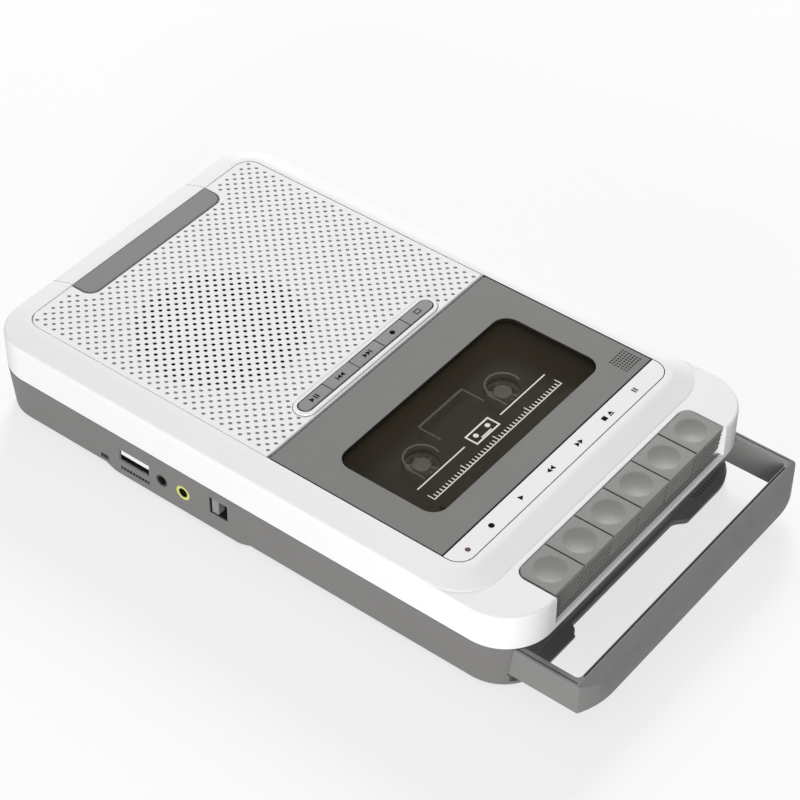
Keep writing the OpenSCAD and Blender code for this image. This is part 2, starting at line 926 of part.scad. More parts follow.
module jack(y) {
  z0 = z_board + board_t;
  difference() {
    union() {
      rod_x([pad_x + run_gap, board_x[0] + over], y, jack_z, jack_r - run_gap);
      box([board_x[0] + gap, board_x[0] + jack_l], [y - jack_w / 2, y + jack_w / 2], [z0, z0 + jack_h]);
    }
    box([board_x[0] - gap, board_x[0] + jack_l], [y - jack_w, y + jack_w], [z_board - over, z0]);
    rod_x([pad_x - over, board_x[0] + jack_l - socket_back], y, jack_z, jack_bore_r);
  }
}

module mic_jack() {
  color(black)
    jack(mic_y);
}

module phone_jack() {
  color("#c8cf60")
    jack(phone_y);
}

module switch_body() {
  z0 = z_board + board_t;
  color(black)
    difference() {
      box([board_x[0] + gap, board_x[0] + switch_l], [switch_y - switch_w, switch_y + switch_w],
        [z0, switch_z + switch_h / 2 + over]);
      box([board_x[0], board_x[0] + knob_tail + gap], [switch_y - switch_w / 2, switch_y + switch_w / 2],
        [switch_z - switch_h / 4, switch_z + switch_h / 4]);
    }
}

// Slide switch knob, resting at the end of its travel nearer the speaker
module switch_knob() {
  y0 = switch_y + knob_travel / 2;
  color(grey) {
    box([pad_x + knob_in, board_x[0] - gap], [y0 - knob_w / 2, y0 + knob_w / 2],
      [switch_z - switch_h / 2 + gap, switch_z + switch_h / 2 - gap]);
    box([board_x[0] - over, board_x[0] + knob_tail], [y0 - knob_w / 2, y0 + knob_w / 2],
      [switch_z - switch_h / 4 + gap, switch_z + switch_h / 4 - gap]);
  }
}

module volume_pot() {
  z0 = z_board + board_t;
  color(black)
    difference() {
      box([wheel_x - pot_w / 2, wheel_x + pot_w / 2], [wheel_y - pot_w / 2, wheel_y + pot_w / 2],
        [z0, z0 + pot_h]);
      post([wheel_x, wheel_y], [z0 - over, z0 + pot_h - over], wheel_axle_r + run_gap);
    }
}

wheel_notches = 24;
notch_r = 0.45;

function notch_place(a) = [wheel_x + wheel_r * cos(a), wheel_y + wheel_r * sin(a)];

module volume_wheel() {
  color(black) {
    difference() {
      post([wheel_x, wheel_y], [z_wheel, z_wheel + wheel_t], wheel_r);
      for (i = [0:wheel_notches - 1])
        post(notch_place(360 * i / wheel_notches), [z_wheel - over, z_wheel + wheel_t + over], notch_r);
    }
    post([wheel_x, wheel_y], [z_wheel, z_board + board_t + pot_h / 2], wheel_axle_r);
  }
}

// Cassette lid
module lid() {
  color("#848682")
    difference() {
      union() {
        box([-lid_hw, lid_hw], [y_strip + gap / 2, hinge_y], [z_top - lid_t, z_top]);
        rod_x([-lid_hw, lid_hw], hinge_y, hinge_z, hinge_r);
      }
      plate([z_top - lid_t - over, z_top + over])
        rounded([-window_w / 2, window_w / 2], [window_y - window_l / 2, window_y + window_l / 2],
          window_r, window_r);
      plate([z_top - lid_t - over, z_top - window_sink])
        pane_outline(gap);
      rod_x([-panel_w, panel_w], hinge_y, hinge_z, lid_pin_r + run_gap);
      for (i = [0:mic_slots - 1])
        box([mic_place[0] - mic_slot_l / 2, mic_place[0] + mic_slot_l / 2],
          [mic_slot_y(i) - mic_slot_w / 2, mic_slot_y(i) + mic_slot_w / 2],
          [z_top - lid_t - over, z_top + over]);
    }
}

function mic_slot_y(i) = mic_place[1] + (i - (mic_slots - 1) / 2) * mic_slot_step;

module pane_outline(grow) {
  hw = window_w / 2 + window_lap + grow;
  half = window_l / 2 + window_lap + grow;
  rounded([-hw, hw], [window_y - half, window_y + half], window_r + window_lap, window_r + window_lap);
}

module window_pane() {
  color("#2a2622")
    plate([z_top - window_sink - pane_t, z_top - window_sink])
      pane_outline(0);
}

module lid_pin() {
  color(steel)
    rod_x([-pin_reach, pin_reach], hinge_y, hinge_z, lid_pin_r);
}

module mic_capsule() {
  color(steel)
    post(mic_place, [z_top - lid_t - mic_h, z_top - lid_t], mic_r);
}

// Piano keys
function key_x(i) = (i - 2.5) * key_pitch;

// Key's front face leans back from its top edge to its bottom edge
function key_front_y(z) = y_key_front + key_lean * (z_key_top - z) / key_h;

function rib_z(j) = z_key_bottom + over + j * rib_step;

module key(i) {
  x = [key_x(i) - key_w / 2, key_x(i) + key_w / 2];
  lever_x = [key_x(i) - lever_w / 2, key_x(i) + lever_w / 2];
  color(key_grey)
    difference() {
      union() {
        intersection() {
          along_x(x)
            polygon([
              [key_front_y(z_key_bottom), z_key_bottom],
              [y_key_rear, z_key_bottom],
              [y_key_rear, z_key_top],
              [y_key_front, z_key_top]
            ]);
          plate([z_key_bottom, z_key_top])
            bay_outline(key_gap / 2);
        }
        box(lever_x, [y_key_rear - over, y_pivot], lever_z);
        rod_x(lever_x, y_pivot, z_pivot, pivot_boss_r);
      }
      translate([key_x(i), dish_y, z_key_top + dish_r - dish_depth])
        sphere(r = dish_r);
      rod_x([x[0] - over, x[1] + over], y_pivot, z_pivot, key_shaft_r + run_gap);
      for (j = [0:rib_count - 1])
        box([x[0] - over, x[1] + over], [y_key_front - over, key_front_y(rib_z(j)) + rib_deep],
          [rib_z(j), rib_z(j) + rib_h]);
    }
}

module key_record() {
  key(0);
}

module key_play() {
  key(1);
}

module key_rewind() {
  key(2);
}

module key_forward() {
  key(3);
}

module key_stop() {
  key(4);
}

module key_pause() {
  key(5);
}

module key_shaft() {
  color(steel)
    rod_x([-ear_x[1], ear_x[1]], y_pivot, z_pivot, key_shaft_r);
}

// Comb of leaf springs: one finger rises to the underside of each key
module key_springs() {
  z0 = z_chassis - chassis_t;
  color(steel) {
    box([-bay_hw, bay_hw], [chassis_y[0], chassis_y[0] + spring_depth], [z0 - finger_t, z0]);
    for (i = [0:5])
      along_x([key_x(i) - finger_w / 2, key_x(i) + finger_w / 2])
        polygon([
          [chassis_y[0] + over, z0],
          [chassis_y[0] + over, z0 - finger_t],
          [chassis_y[0] - gap, z0 - finger_t],
          [y_key_front + key_lean + over, z_key_bottom - gap - finger_t],
          [y_key_front + key_lean + over, z_key_bottom - gap],
          [chassis_y[0] - gap, z0]
        ]);
  }
}

// Function buttons
function button_x(i) = (i - 2) * button_pitch;

module button(i) {
  x = [button_x(i) - button_pitch / 2 + gap / 2, button_x(i) + button_pitch / 2 - gap / 2];
  color("#9a9a98") {
    plate([z_top - button_skirt, z_top + button_h])
      intersection() {
        button_outline(button_row_hw, button_w / 2);
        translate([x[0], button_y - button_w])
          square([x[1] - x[0], 2 * button_w]);
      }
    post([button_x(i), button_y], [z_top - button_skirt - stem_l, z_top], stem_r);
  }
}

module button_mode() {
  button(0);
}

module button_previous() {
  button(1);
}

module button_next() {
  button(2);
}

module button_record() {
  button(3);
}

module button_run() {
  button(4);
}

// Tape deck
hubs = [[-hub_spacing / 2, hub_y], [hub_spacing / 2, hub_y]];

module deck_chassis() {
  color(steel)
    difference() {
      union() {
        box([-chassis_hw, chassis_hw], chassis_y, [z_chassis - chassis_t, z_chassis]);
        box([-ear_x[1], ear_x[1]], [chassis_y[0], chassis_y[0] + spring_depth],
          [z_chassis - chassis_t, z_chassis]);
        box(mount_x, [chassis_y[1] - over, mount_y1], [z_chassis - chassis_t, z_chassis]);
        for (x = [-ear_x[1], ear_x[0]]) {
          box([x, x + ear_x[1] - ear_x[0]], [y_pivot - ear_half, chassis_y[0] + over],
            [z_chassis - chassis_t, z_chassis]);
          box([x, x + ear_x[1] - ear_x[0]], [y_pivot - ear_half, y_pivot + ear_half],
            [z_chassis - chassis_t, z_pivot + ear_half]);
        }
        for (p = rest_places)
          post(p, [z_chassis - bite, z_cassette], rest_r);
        post(pinch_pivot, [z_chassis - bite, z_arm + pinch_arm_t + over], pinch_post_r);
        post(pinch_pivot, [z_chassis - bite, z_arm - run_gap], pinch_post_r + over);
      }
      for (h = hubs)
        post(h, [z_chassis - 2 * chassis_t, z_chassis + over], spindle_axle_r + run_gap);
      post(capstan_place, [z_chassis - 2 * chassis_t, z_chassis + over], bush_r);
      post(motor_place, [z_chassis - 2 * chassis_t, z_chassis + over], motor_shaft_r + over);
      for (p = chassis_posts)
        post(p, [z_chassis - 2 * chassis_t, z_chassis + over], chassis_screw_r + run_gap);
      rod_x([-panel_w, panel_w], y_pivot, z_pivot, key_shaft_r);
    }
}

module chassis_screws() {
  color(steel)
    for (p = chassis_posts) {
      post(p, [z_chassis - chassis_t - chassis_grip, z_chassis + bite], chassis_screw_r);
      post(p, [z_chassis, z_chassis + chassis_head_h], chassis_head_r);
    }
}

module motor() {
  color("#9aa0a4")
    difference() {
      post(motor_place, [z_chassis, z_chassis + motor_h], motor_r);
      post(motor_place, [z_chassis - over, z_chassis + motor_h / 2], motor_shaft_r + run_gap);
    }
}

module motor_pulley() {
  color(brass) {
    post(motor_place, [z_belt - over, z_chassis + motor_h / 2 - over], motor_shaft_r);
    post(motor_place, [z_belt - over, z_belt + belt_h + over], pulley_r);
    for (z = [z_belt - over, z_belt + belt_h + over - pulley_flange_t])
      post(motor_place, [z, z + pulley_flange_t], pulley_flange_r);
  }
}

// Outline round two wheels and the straight runs between them, as one closed line
module belt_outline(grow) {
  r1 = flywheel_r + belt_slack + grow;
  r2 = pulley_r + belt_slack + grow;
  run = motor_place - capstan_place;
  span = norm(run);
  turn = atan2(run[1], run[0]);
  wrap = acos((r1 - r2) / span);
  translate(capstan_place)
    rotate(turn)
      polygon(concat(
        [for (i = [0:belt_steps])
          let (t = wrap + (360 - 2 * wrap) * i / belt_steps)
            [r1 * cos(t), r1 * sin(t)]],
        [for (i = [0:belt_steps])
          let (t = -wrap + 2 * wrap * i / belt_steps)
            [span + r2 * cos(t), r2 * sin(t)]]
      ));
}

module drive_belt() {
  color(black)
    plate([z_belt, z_belt + belt_h])
      difference() {
        belt_outline(belt_t);
        belt_outline(0);
      }
}

module flywheel() {
  color("#8d9094")
    difference() {
      post(capstan_place, [z_flywheel, z_flywheel + flywheel_t], flywheel_r);
      post(capstan_place, [z_flywheel - over, z_flywheel + flywheel_t + over], capstan_r);
    }
}

module capstan() {
  color(steel)
    post(capstan_place, [z_capstan, z_cassette + cassette_t], capstan_r);
}

module capstan_bush() {
  color(brass)
    difference() {
      post(capstan_place, bush_z, bush_r);
      post(capstan_place, [bush_z[0] - over, bush_z[1] + over], capstan_r + run_gap);
    }
}

module spindle(h) {
  z0 = z_chassis + run_gap;
  color("#e8e6e0") {
    post(h, [z_chassis - chassis_t - over, z0 + bite], spindle_axle_r);
    post(h, [z0, z0 + spindle_flange_t], spindle_flange_r);
    post(h, [z0, z_cassette + cassette_t - over], spindle_r);
    for (a = [30, 150, 270])
      translate([h[0], h[1], z0])
        rotate([0, 0, a])
          translate([0, -fin_w / 2, 0])
            cube([fin_reach, fin_w, z_cassette + cassette_t - 2 * over - z0]);
  }
}

module supply_spindle() {
  spindle(hubs[0]);
}

module takeup_spindle() {
  spindle(hubs[1]);
}

// Cassette hub with six teeth that meet the spindle
module reel(h) {
  z = [z_cassette + cassette_skin + gap, z_cassette + cassette_t - cassette_skin - gap];
  color("#f0eee8") {
    difference() {
      post(h, z, hub_r);
      post(h, [z[0] - over, z[1] + over], hub_bore_r);
    }
    for (a = [0:60:300])
      translate([h[0], h[1], z[0] + gap])
        rotate([0, 0, a])
          translate([spindle_r + run_gap, -tooth_w / 2, 0])
            cube([hub_bore_r - spindle_r + bite, tooth_w, z[1] - z[0] - 2 * gap]);
  }
}

module supply_reel() {
  reel(hubs[0]);
}

module takeup_reel() {
  reel(hubs[1]);
}

module cassette_shell() {
  mouth_y = [cassette_y0 - over, cassette_y0 + mouth_l];
  color("#3a3734")
    difference() {
      union() {
        box([-cassette_w / 2, cassette_w / 2], [cassette_y0, cassette_y1],
          [z_cassette, z_cassette + cassette_t]);
        box([-full_hw, full_hw], [cassette_y0, cassette_y0 + full_l], [z_full, z_full + cassette_full_t]);
      }
      box([cassette_rim - cassette_w / 2, cassette_w / 2 - cassette_rim],
        [cassette_y0 + full_l + cassette_rim, cassette_y1 - cassette_rim],
        [z_cassette + cassette_skin, z_cassette + cassette_t - cassette_skin]);
      for (h = hubs)
        post(h, [z_cassette - over, z_cassette + cassette_t + over], hub_hole_r);
      for (s = [-1, 1])
        post([s * capstan_place[0], capstan_place[1]], [z_full - over, z_full + cassette_full_t + over],
          capstan_hole_r);
      box([-head_w / 2 - over, head_w / 2 + over], mouth_y, [z_full - over, z_full + cassette_full_t + over]);
      box([erase_x - erase_w / 2 - over, erase_x + erase_w / 2 + over], mouth_y,
        [z_full - over, z_full + cassette_full_t + over]);
      box(roller_mouth, mouth_y, [z_full - over, z_full + cassette_full_t + over]);
    }
}

// Head slide with its two heads, and the pinch roller on its arm
module head_slide() {
  color("#a5a9ad")
    box(slide_x, [slide_y1 - slide_l, slide_y1], [z_slide, z_slide + slide_t]);
}

module tape_heads() {
  z0 = z_slide + slide_t;
  y1 = slide_y1 - head_back;
  color("#70747a") {
    box([-head_w / 2, head_w / 2], [y1 - head_l, y1], [z0, z0 + head_h]);
    box([erase_x - erase_w / 2, erase_x + erase_w / 2], [y1 - head_l, y1], [z0, z0 + head_h]);
  }
}

module pinch_arm() {
  run = pinch_place - pinch_pivot;
  color("#a5a9ad") {
    difference() {
      union() {
        translate([pinch_pivot[0], pinch_pivot[1], z_arm])
          rotate([0, 0, atan2(run[1], run[0])])
            translate([0, -pinch_arm_w / 2, 0])
              cube([norm(run), pinch_arm_w, pinch_arm_t]);
        post(pinch_pivot, [z_arm, z_arm + pinch_arm_t], pinch_arm_w / 2 + over);
        post(pinch_place, [z_arm, z_arm + pinch_arm_t], pinch_arm_w / 2);
      }
      post(pinch_pivot, [z_arm - over, z_arm + pinch_arm_t + over], pinch_post_r + run_gap);
    }
    post(pinch_place, [z_arm, z_arm + pinch_arm_t + pinch_h + over], pinch_axle_r);
  }
}

module pinch_roller() {
  z0 = z_arm + pinch_arm_t + run_gap;
  color(black)
    difference() {
      post(pinch_place, [z0, z0 + pinch_h], pinch_r);
      post(pinch_place, [z0 - over, z0 + pinch_h + over], pinch_axle_r + run_gap);
    }
}

// Carrying handle
module handle_outline() {
  hw = handle_hw + handle_r - handle_curve;
  intersection() {
    rounded([-hw, hw], [y_handle, arm_end], handle_r, 0);
    translate([-handle_hw, y_handle])
      square([2 * handle_hw, arm_end - y_handle]);
  }
}

module handle() {
  z1 = handle_z[1];
  flat_y = y_handle + bar_t - bar_flat;
  color(grey)
    difference() {
      union() {
        plate(handle_z)
          difference() {
            handle_outline();
            rounded([-arm_in, arm_in], [y_handle + bar_t, arm_end + over], bar_inner_r, 0);
          }
        for (x = [-arm_in - bite, arm_in - lug_out])
          box([x, x + lug_out + bite], [arm_end - lug_l, arm_end], handle_z);
      }
      along_x([-body_hw, body_hw])
        polygon([
          [y_handle - over, z1 + over],
          [flat_y, z1 + over],
          [flat_y, z1],
          [y_handle + bar_nose, z1 - bar_slope],
          [y_handle, z1 - bar_fall],
          [y_handle - over, z1 - bar_fall]
        ]);
    }
}

// Feet and fasteners
module rubber_feet() {
  color(black)
    for (p = foot_places)
      post(p, [0, z_base + foot_sink], foot_r);
}

module case_screws() {
  color(steel)
    for (p = screw_places) {
      post(p, [z_base + screw_seat - screw_head_h, z_base + screw_seat], screw_head_r);
      post(p, [z_base + screw_seat - bite, z_floor + boss_h + screw_grip], screw_r);
    }
}

top_cover();
base_shell();
grille_panel();
label_strip();
battery_door();
battery_grip();
battery_box();
battery_contacts();
speaker_basket();
speaker_cone();
speaker_magnet();
main_board();
button_board();
usb_socket();
card_socket();
mic_jack();
phone_jack();
switch_body();
switch_knob();
volume_pot();
volume_wheel();
status_led();
lid();
window_pane();
lid_pin();
mic_capsule();
key_record();
key_play();
key_rewind();
key_forward();
key_stop();
key_pause();
key_shaft();
key_springs();
button_mode();
button_previous();
button_next();
button_record();
button_run();
deck_chassis();
motor();
motor_pulley();
drive_belt();
flywheel();
capstan();
capstan_bush();
supply_spindle();
takeup_spindle();
supply_reel();
takeup_reel();
cassette_shell();
head_slide();
tape_heads();
pinch_arm();
pinch_roller();
handle();
rubber_feet();
case_screws();
chassis_screws();
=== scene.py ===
"""Portable cassette player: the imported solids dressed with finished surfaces, in a plain studio."""
import json
import math

import bpy
from mathutils import Matrix, Vector
from mathutils.geometry import delaunay_2d_cdt


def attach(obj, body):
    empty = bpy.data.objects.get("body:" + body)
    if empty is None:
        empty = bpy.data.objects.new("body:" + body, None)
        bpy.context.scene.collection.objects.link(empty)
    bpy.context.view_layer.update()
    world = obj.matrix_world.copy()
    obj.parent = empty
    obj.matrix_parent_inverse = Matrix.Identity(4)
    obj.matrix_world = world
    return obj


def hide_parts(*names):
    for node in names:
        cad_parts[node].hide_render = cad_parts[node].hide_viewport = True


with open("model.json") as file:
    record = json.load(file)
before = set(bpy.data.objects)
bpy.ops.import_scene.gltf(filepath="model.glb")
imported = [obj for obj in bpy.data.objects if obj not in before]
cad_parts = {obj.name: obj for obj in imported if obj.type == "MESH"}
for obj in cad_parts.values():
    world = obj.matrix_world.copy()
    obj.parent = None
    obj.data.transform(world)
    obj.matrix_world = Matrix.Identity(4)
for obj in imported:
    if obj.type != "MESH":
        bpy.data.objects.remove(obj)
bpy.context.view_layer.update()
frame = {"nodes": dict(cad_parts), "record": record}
NODES = frame["nodes"]
MM = 0.001

# Sizes in millimetres in the part's frame: HW is half a width, R a radius, T a thickness
BODY_HW, PANEL_HW = 64.8, 55.2
Y_REAR, Y_PANEL_REAR, Y_GRIP, Y_SPLIT = 118.1, 108.5, 99.9, 5.9
Y_STRIP, Y_PANEL_FRONT, Y_CREASE, Y_FRONT = -61.3, -68.7, -79.1, -96.1
Z_BASE, Z_FLOOR, Z_SEAM, Z_CREASE, Z_TOP = 0.8, 2.8, 18.3, 31.9, 34.8
Z_ROOF, Z_PLATE, Z_SHELF, Z_SILL = 29.2, 33.3, 31.7, 20.5
WALL, GAP, DECK_R, FRONT_R, PANEL_R = 1.8, 0.3, 15.3, 17.0, 6.0
BAT_HW, GRIP_R = 33.0, 4.0
SPEAKER, MOUTH_R = (-19.0, 55.9), 27.0
BUTTON_Y, BUTTON_PITCH, ROW_HW, BUTTON_HALF = 11.0, 13.2, 33.0, 2.3
SCREWS = [(s * x, y) for s in (-1, 1) for x, y in ((56.5, 101.9), (58.0, -8.1), (50.4, -82.1))]
BOSS_R, Z_BOSS = 3.3, 8.8
USB_Y, USB_Z, CARD_Z = 54.4, 10.2, 4.7
MIC_Y, PHONE_Y, JACK_Z = 42.7, 33.8, 9.3
SWITCH_Y, SWITCH_Z = 18.9, 11.3

# How far a tool reaches past the surface it cuts or into the solid it joins
OVER, REACH = 1.0, 0.5
# Steps in a large and a small corner of an outline
CORNER_N, NOTCH_N = 16, 10


# Mesh building
def add(name, data):
    """A new object in the scene for a mesh, a lamp or a camera."""
    ob = bpy.data.objects.new(name, data)
    bpy.context.scene.collection.objects.link(ob)
    return ob


def make(name, verts, faces):
    """A mesh object from points in millimetres."""
    me = bpy.data.meshes.new(name)
    me.from_pydata([(x * MM, y * MM, z * MM) for x, y, z in verts], [], faces)
    me.update()
    return add(name, me)


def arc(cx, cy, r, a0, a1, n):
    """Points on an arc from angle a0 to a1 in degrees."""
    out = []
    for i in range(n + 1):
        a = math.radians(a0 + (a1 - a0) * i / n)
        out.append((cx + r * math.cos(a), cy + r * math.sin(a)))
    return out


def disc(x, y, r, n=24):
    return arc(x, y, r, 0, 360 - 360 / n, n - 1)


def rounded(x, y, rf, rr, n=NOTCH_N):
    """Outline of a rectangle whose front and rear corners have their own radii."""
    out = []
    for cx, cy, r, a in ((x[0] + rf, y[0] + rf, rf, 180), (x[1] - rf, y[0] + rf, rf, 270),
                         (x[1] - rr, y[1] - rr, rr, 0), (x[0] + rr, y[1] - rr, rr, 90)):
        out += arc(cx, cy, r, a, a + 90, n) if r > 0 else [(cx, cy)]
    return out


def stadium(hw, half, y, n=12):
    """Outline of a slot with round ends, centred on x = 0."""
    r = half - 0.01
    return rounded((-hw, hw), (y - half, y + half), r, r, n)


def tube(n, a, b):
    """Faces between two rings of n points that start at a and b."""
    return [(a + i, a + (i + 1) % n, b + (i + 1) % n, b + i) for i in range(n)]


def loft(name, rings):
    """A closed solid through rings of points, each ring as long as the others."""
    n, last = len(rings[0]), (len(rings) - 1) * len(rings[0])
    faces = [tuple(reversed(range(n)))]
    for a in range(0, last, n):
        faces += tube(n, a, a + n)
    faces.append(tuple(range(last, last + n)))
    return make(name, [p for ring in rings for p in ring], faces)


def level_rings(outline, profile):
    """Level rings: outline(d) gives the ring drawn in by d, for each (d, z) of a profile."""
    return [[(x, y, z) for x, y in outline(d)] for d, z in profile]


def side_rings(outline, profile):
    """Upright rings along X: outline(d) gives the (y, z) ring for each (d, x) of a profile."""
    return [[(x, y, z) for y, z in outline(d)] for d, x in profile]


def prisms(name, outlines, z):
    """One mesh of separate upright prisms."""
    verts, faces = [], []
    for outline in outlines:
        n, at = len(outline), len(verts)
        verts += [(x, y, h) for h in z for x, y in outline]
        faces += [tuple(reversed(range(at, at + n))), tuple(range(at + n, at + 2 * n))]
        faces += tube(n, at, at + n)
    return make(name, verts, faces)


def prism(name, outline, z):
    return loft(name, [[(x, y, h) for x, y in outline] for h in z])


def block(name, x, y, z):
    return prism(name, rounded(x, y, 0, 0), z)


def post(name, p, z, r, n=48):
    return prism(name, disc(p[0], p[1], r, n), z)


def rod_x(name, x, y, z, r, n=32):
    return loft(name, side_rings(lambda d: disc(y, z, r, n), [(0, h) for h in x]))


def filleted(points, n=5):
    """A line through (u, v, radius) points with its corners rounded."""
    out = []
    for i, (u, v, r) in enumerate(points):
        if r == 0 or i in (0, len(points) - 1):
            out.append((u, v))
            continue
        p = Vector((u, v))
        a = (Vector(points[i - 1][:2]) - p).normalized()
        b = (Vector(points[i + 1][:2]) - p).normalized()
        half = a.angle(b) / 2
        start = p + a * (r / math.tan(half))
        centre = p + (a + b).normalized() * (r / math.sin(half))
        spoke = start - centre
        turn = math.pi - 2 * half
        if a.x * b.y - a.y * b.x > 0:
            turn = -turn
        for k in range(n + 1):
            t = turn * k / n
            out.append((centre.x + spoke.x * math.cos(t) - spoke.y * math.sin(t),
                        centre.y + spoke.x * math.sin(t) + spoke.y * math.cos(t)))
    return out


def baked(ob):
    """Puts an object's modifiers into its mesh."""
    deps = bpy.context.evaluated_depsgraph_get()
    new = bpy.data.meshes.new_from_object(ob.evaluated_get(deps))
    ob.modifiers.clear()
    old = ob.data
    ob.data = new
    bpy.data.meshes.remove(old)
    return ob


def boolean(ob, tool, operation="DIFFERENCE"):
    """Applies one exact boolean and removes the tool."""
    mod = ob.modifiers.new("cut", "BOOLEAN")
    mod.operation = operation
    mod.solver = "EXACT"
    mod.object = tool
    baked(ob)
    gone = tool.data
    bpy.data.objects.remove(tool)
    bpy.data.meshes.remove(gone)
    return ob


def smooth(ob, angle=32):
    """Smooth shading with hard edges above an angle, and normals led by the large faces."""
    ob.data.polygons.foreach_set("use_smooth", [True] * len(ob.data.polygons))
    ob.data.set_sharp_from_angle(angle=math.radians(angle))
    mod = ob.modifiers.new("normals", "WEIGHTED_NORMAL")
    mod.keep_sharp = True
    mod.weight = 80
    return ob


def soften(ob, width):
    """Rounds the edges of a solid with modifiers, which leave its own mesh as it is."""
    weld = ob.modifiers.new("weld", "WELD")
    weld.merge_threshold = 0.002 * MM
    flat = ob.modifiers.new("flat", "DECIMATE")
    flat.decimate_type = "DISSOLVE"
    flat.angle_limit = math.radians(0.6)
    if width:
        edge = ob.modifiers.new("edge", "BEVEL")
        edge.width = width * MM
        edge.segments = 2
        edge.limit_method = "ANGLE"
        edge.angle_limit = math.radians(40)
        edge.use_clamp_overlap = True
        edge.miter_outer = "MITER_ARC"
    return smooth(ob, 35)


# Materials
TONE_SCALE, ROUGH_SCALE, RELIEF, COAT_ROUGH = 60, 250, 0.0002, 0.12


def linear(code):
    """Linear colour of a hex code."""
    out = []
    for i in (0, 2, 4):
        c = int(code[i:i + 2], 16) / 255
        out.append(c / 12.92 if c <= 0.04045 else ((c + 0.055) / 1.055) ** 2.4)
    return out


def surface(name, code, rough=0.4, spread=0.06, tone=0.03, grain=1800, bump=0.06, metallic=0.0,
            coat=0.0, alpha=1.0, specular=0.5, stretch=(1, 1, 1)):
    """A shader with fine grain in its relief, and slow changes in its tone and roughness."""
    mat = bpy.data.materials.new(name)
    mat.use_nodes = True
    nodes, links = mat.node_tree.nodes, mat.node_tree.links
    bsdf = nodes["Principled BSDF"]
    for socket, value in (("Metallic", metallic), ("Coat Weight", coat),
                          ("Coat Roughness", COAT_ROUGH),
                          ("Alpha", alpha), ("Specular IOR Level", specular)):
        bsdf.inputs[socket].default_value = value
    place = nodes.new("ShaderNodeTexCoord")
    turn = nodes.new("ShaderNodeMapping")
    turn.inputs["Scale"].default_value = stretch
    links.new(place.outputs["Object"], turn.inputs["Vector"])

    def noise(scale, detail):
        node = nodes.new("ShaderNodeTexNoise")
        node.inputs["Scale"].default_value = scale
        node.inputs["Detail"].default_value = detail
        links.new(turn.outputs["Vector"], node.inputs["Vector"])
        return node.outputs["Fac"]

    base = linear(code)
    ramp = nodes.new("ShaderNodeValToRGB")
    for stop, at, share in zip(ramp.color_ramp.elements, (0.3, 0.7), (1 - tone, 1 + tone)):
        stop.position = at
        stop.color = [min(1, c * share) for c in base] + [1]
    links.new(noise(TONE_SCALE, 3), ramp.inputs["Fac"])
    links.new(ramp.outputs["Color"], bsdf.inputs["Base Color"])
    span = nodes.new("ShaderNodeMapRange")
    span.inputs["To Min"].default_value = max(0.02, rough - spread)
    span.inputs["To Max"].default_value = rough + spread
    links.new(noise(ROUGH_SCALE, 4), span.inputs["Value"])
    links.new(span.outputs["Result"], bsdf.inputs["Roughness"])
    relief = nodes.new("ShaderNodeBump")
    relief.inputs["Strength"].default_value = bump
    relief.inputs["Distance"].default_value = RELIEF
    links.new(noise(grain, 2), relief.inputs["Height"])
    links.new(relief.outputs["Normal"], bsdf.inputs["Normal"])
    return mat


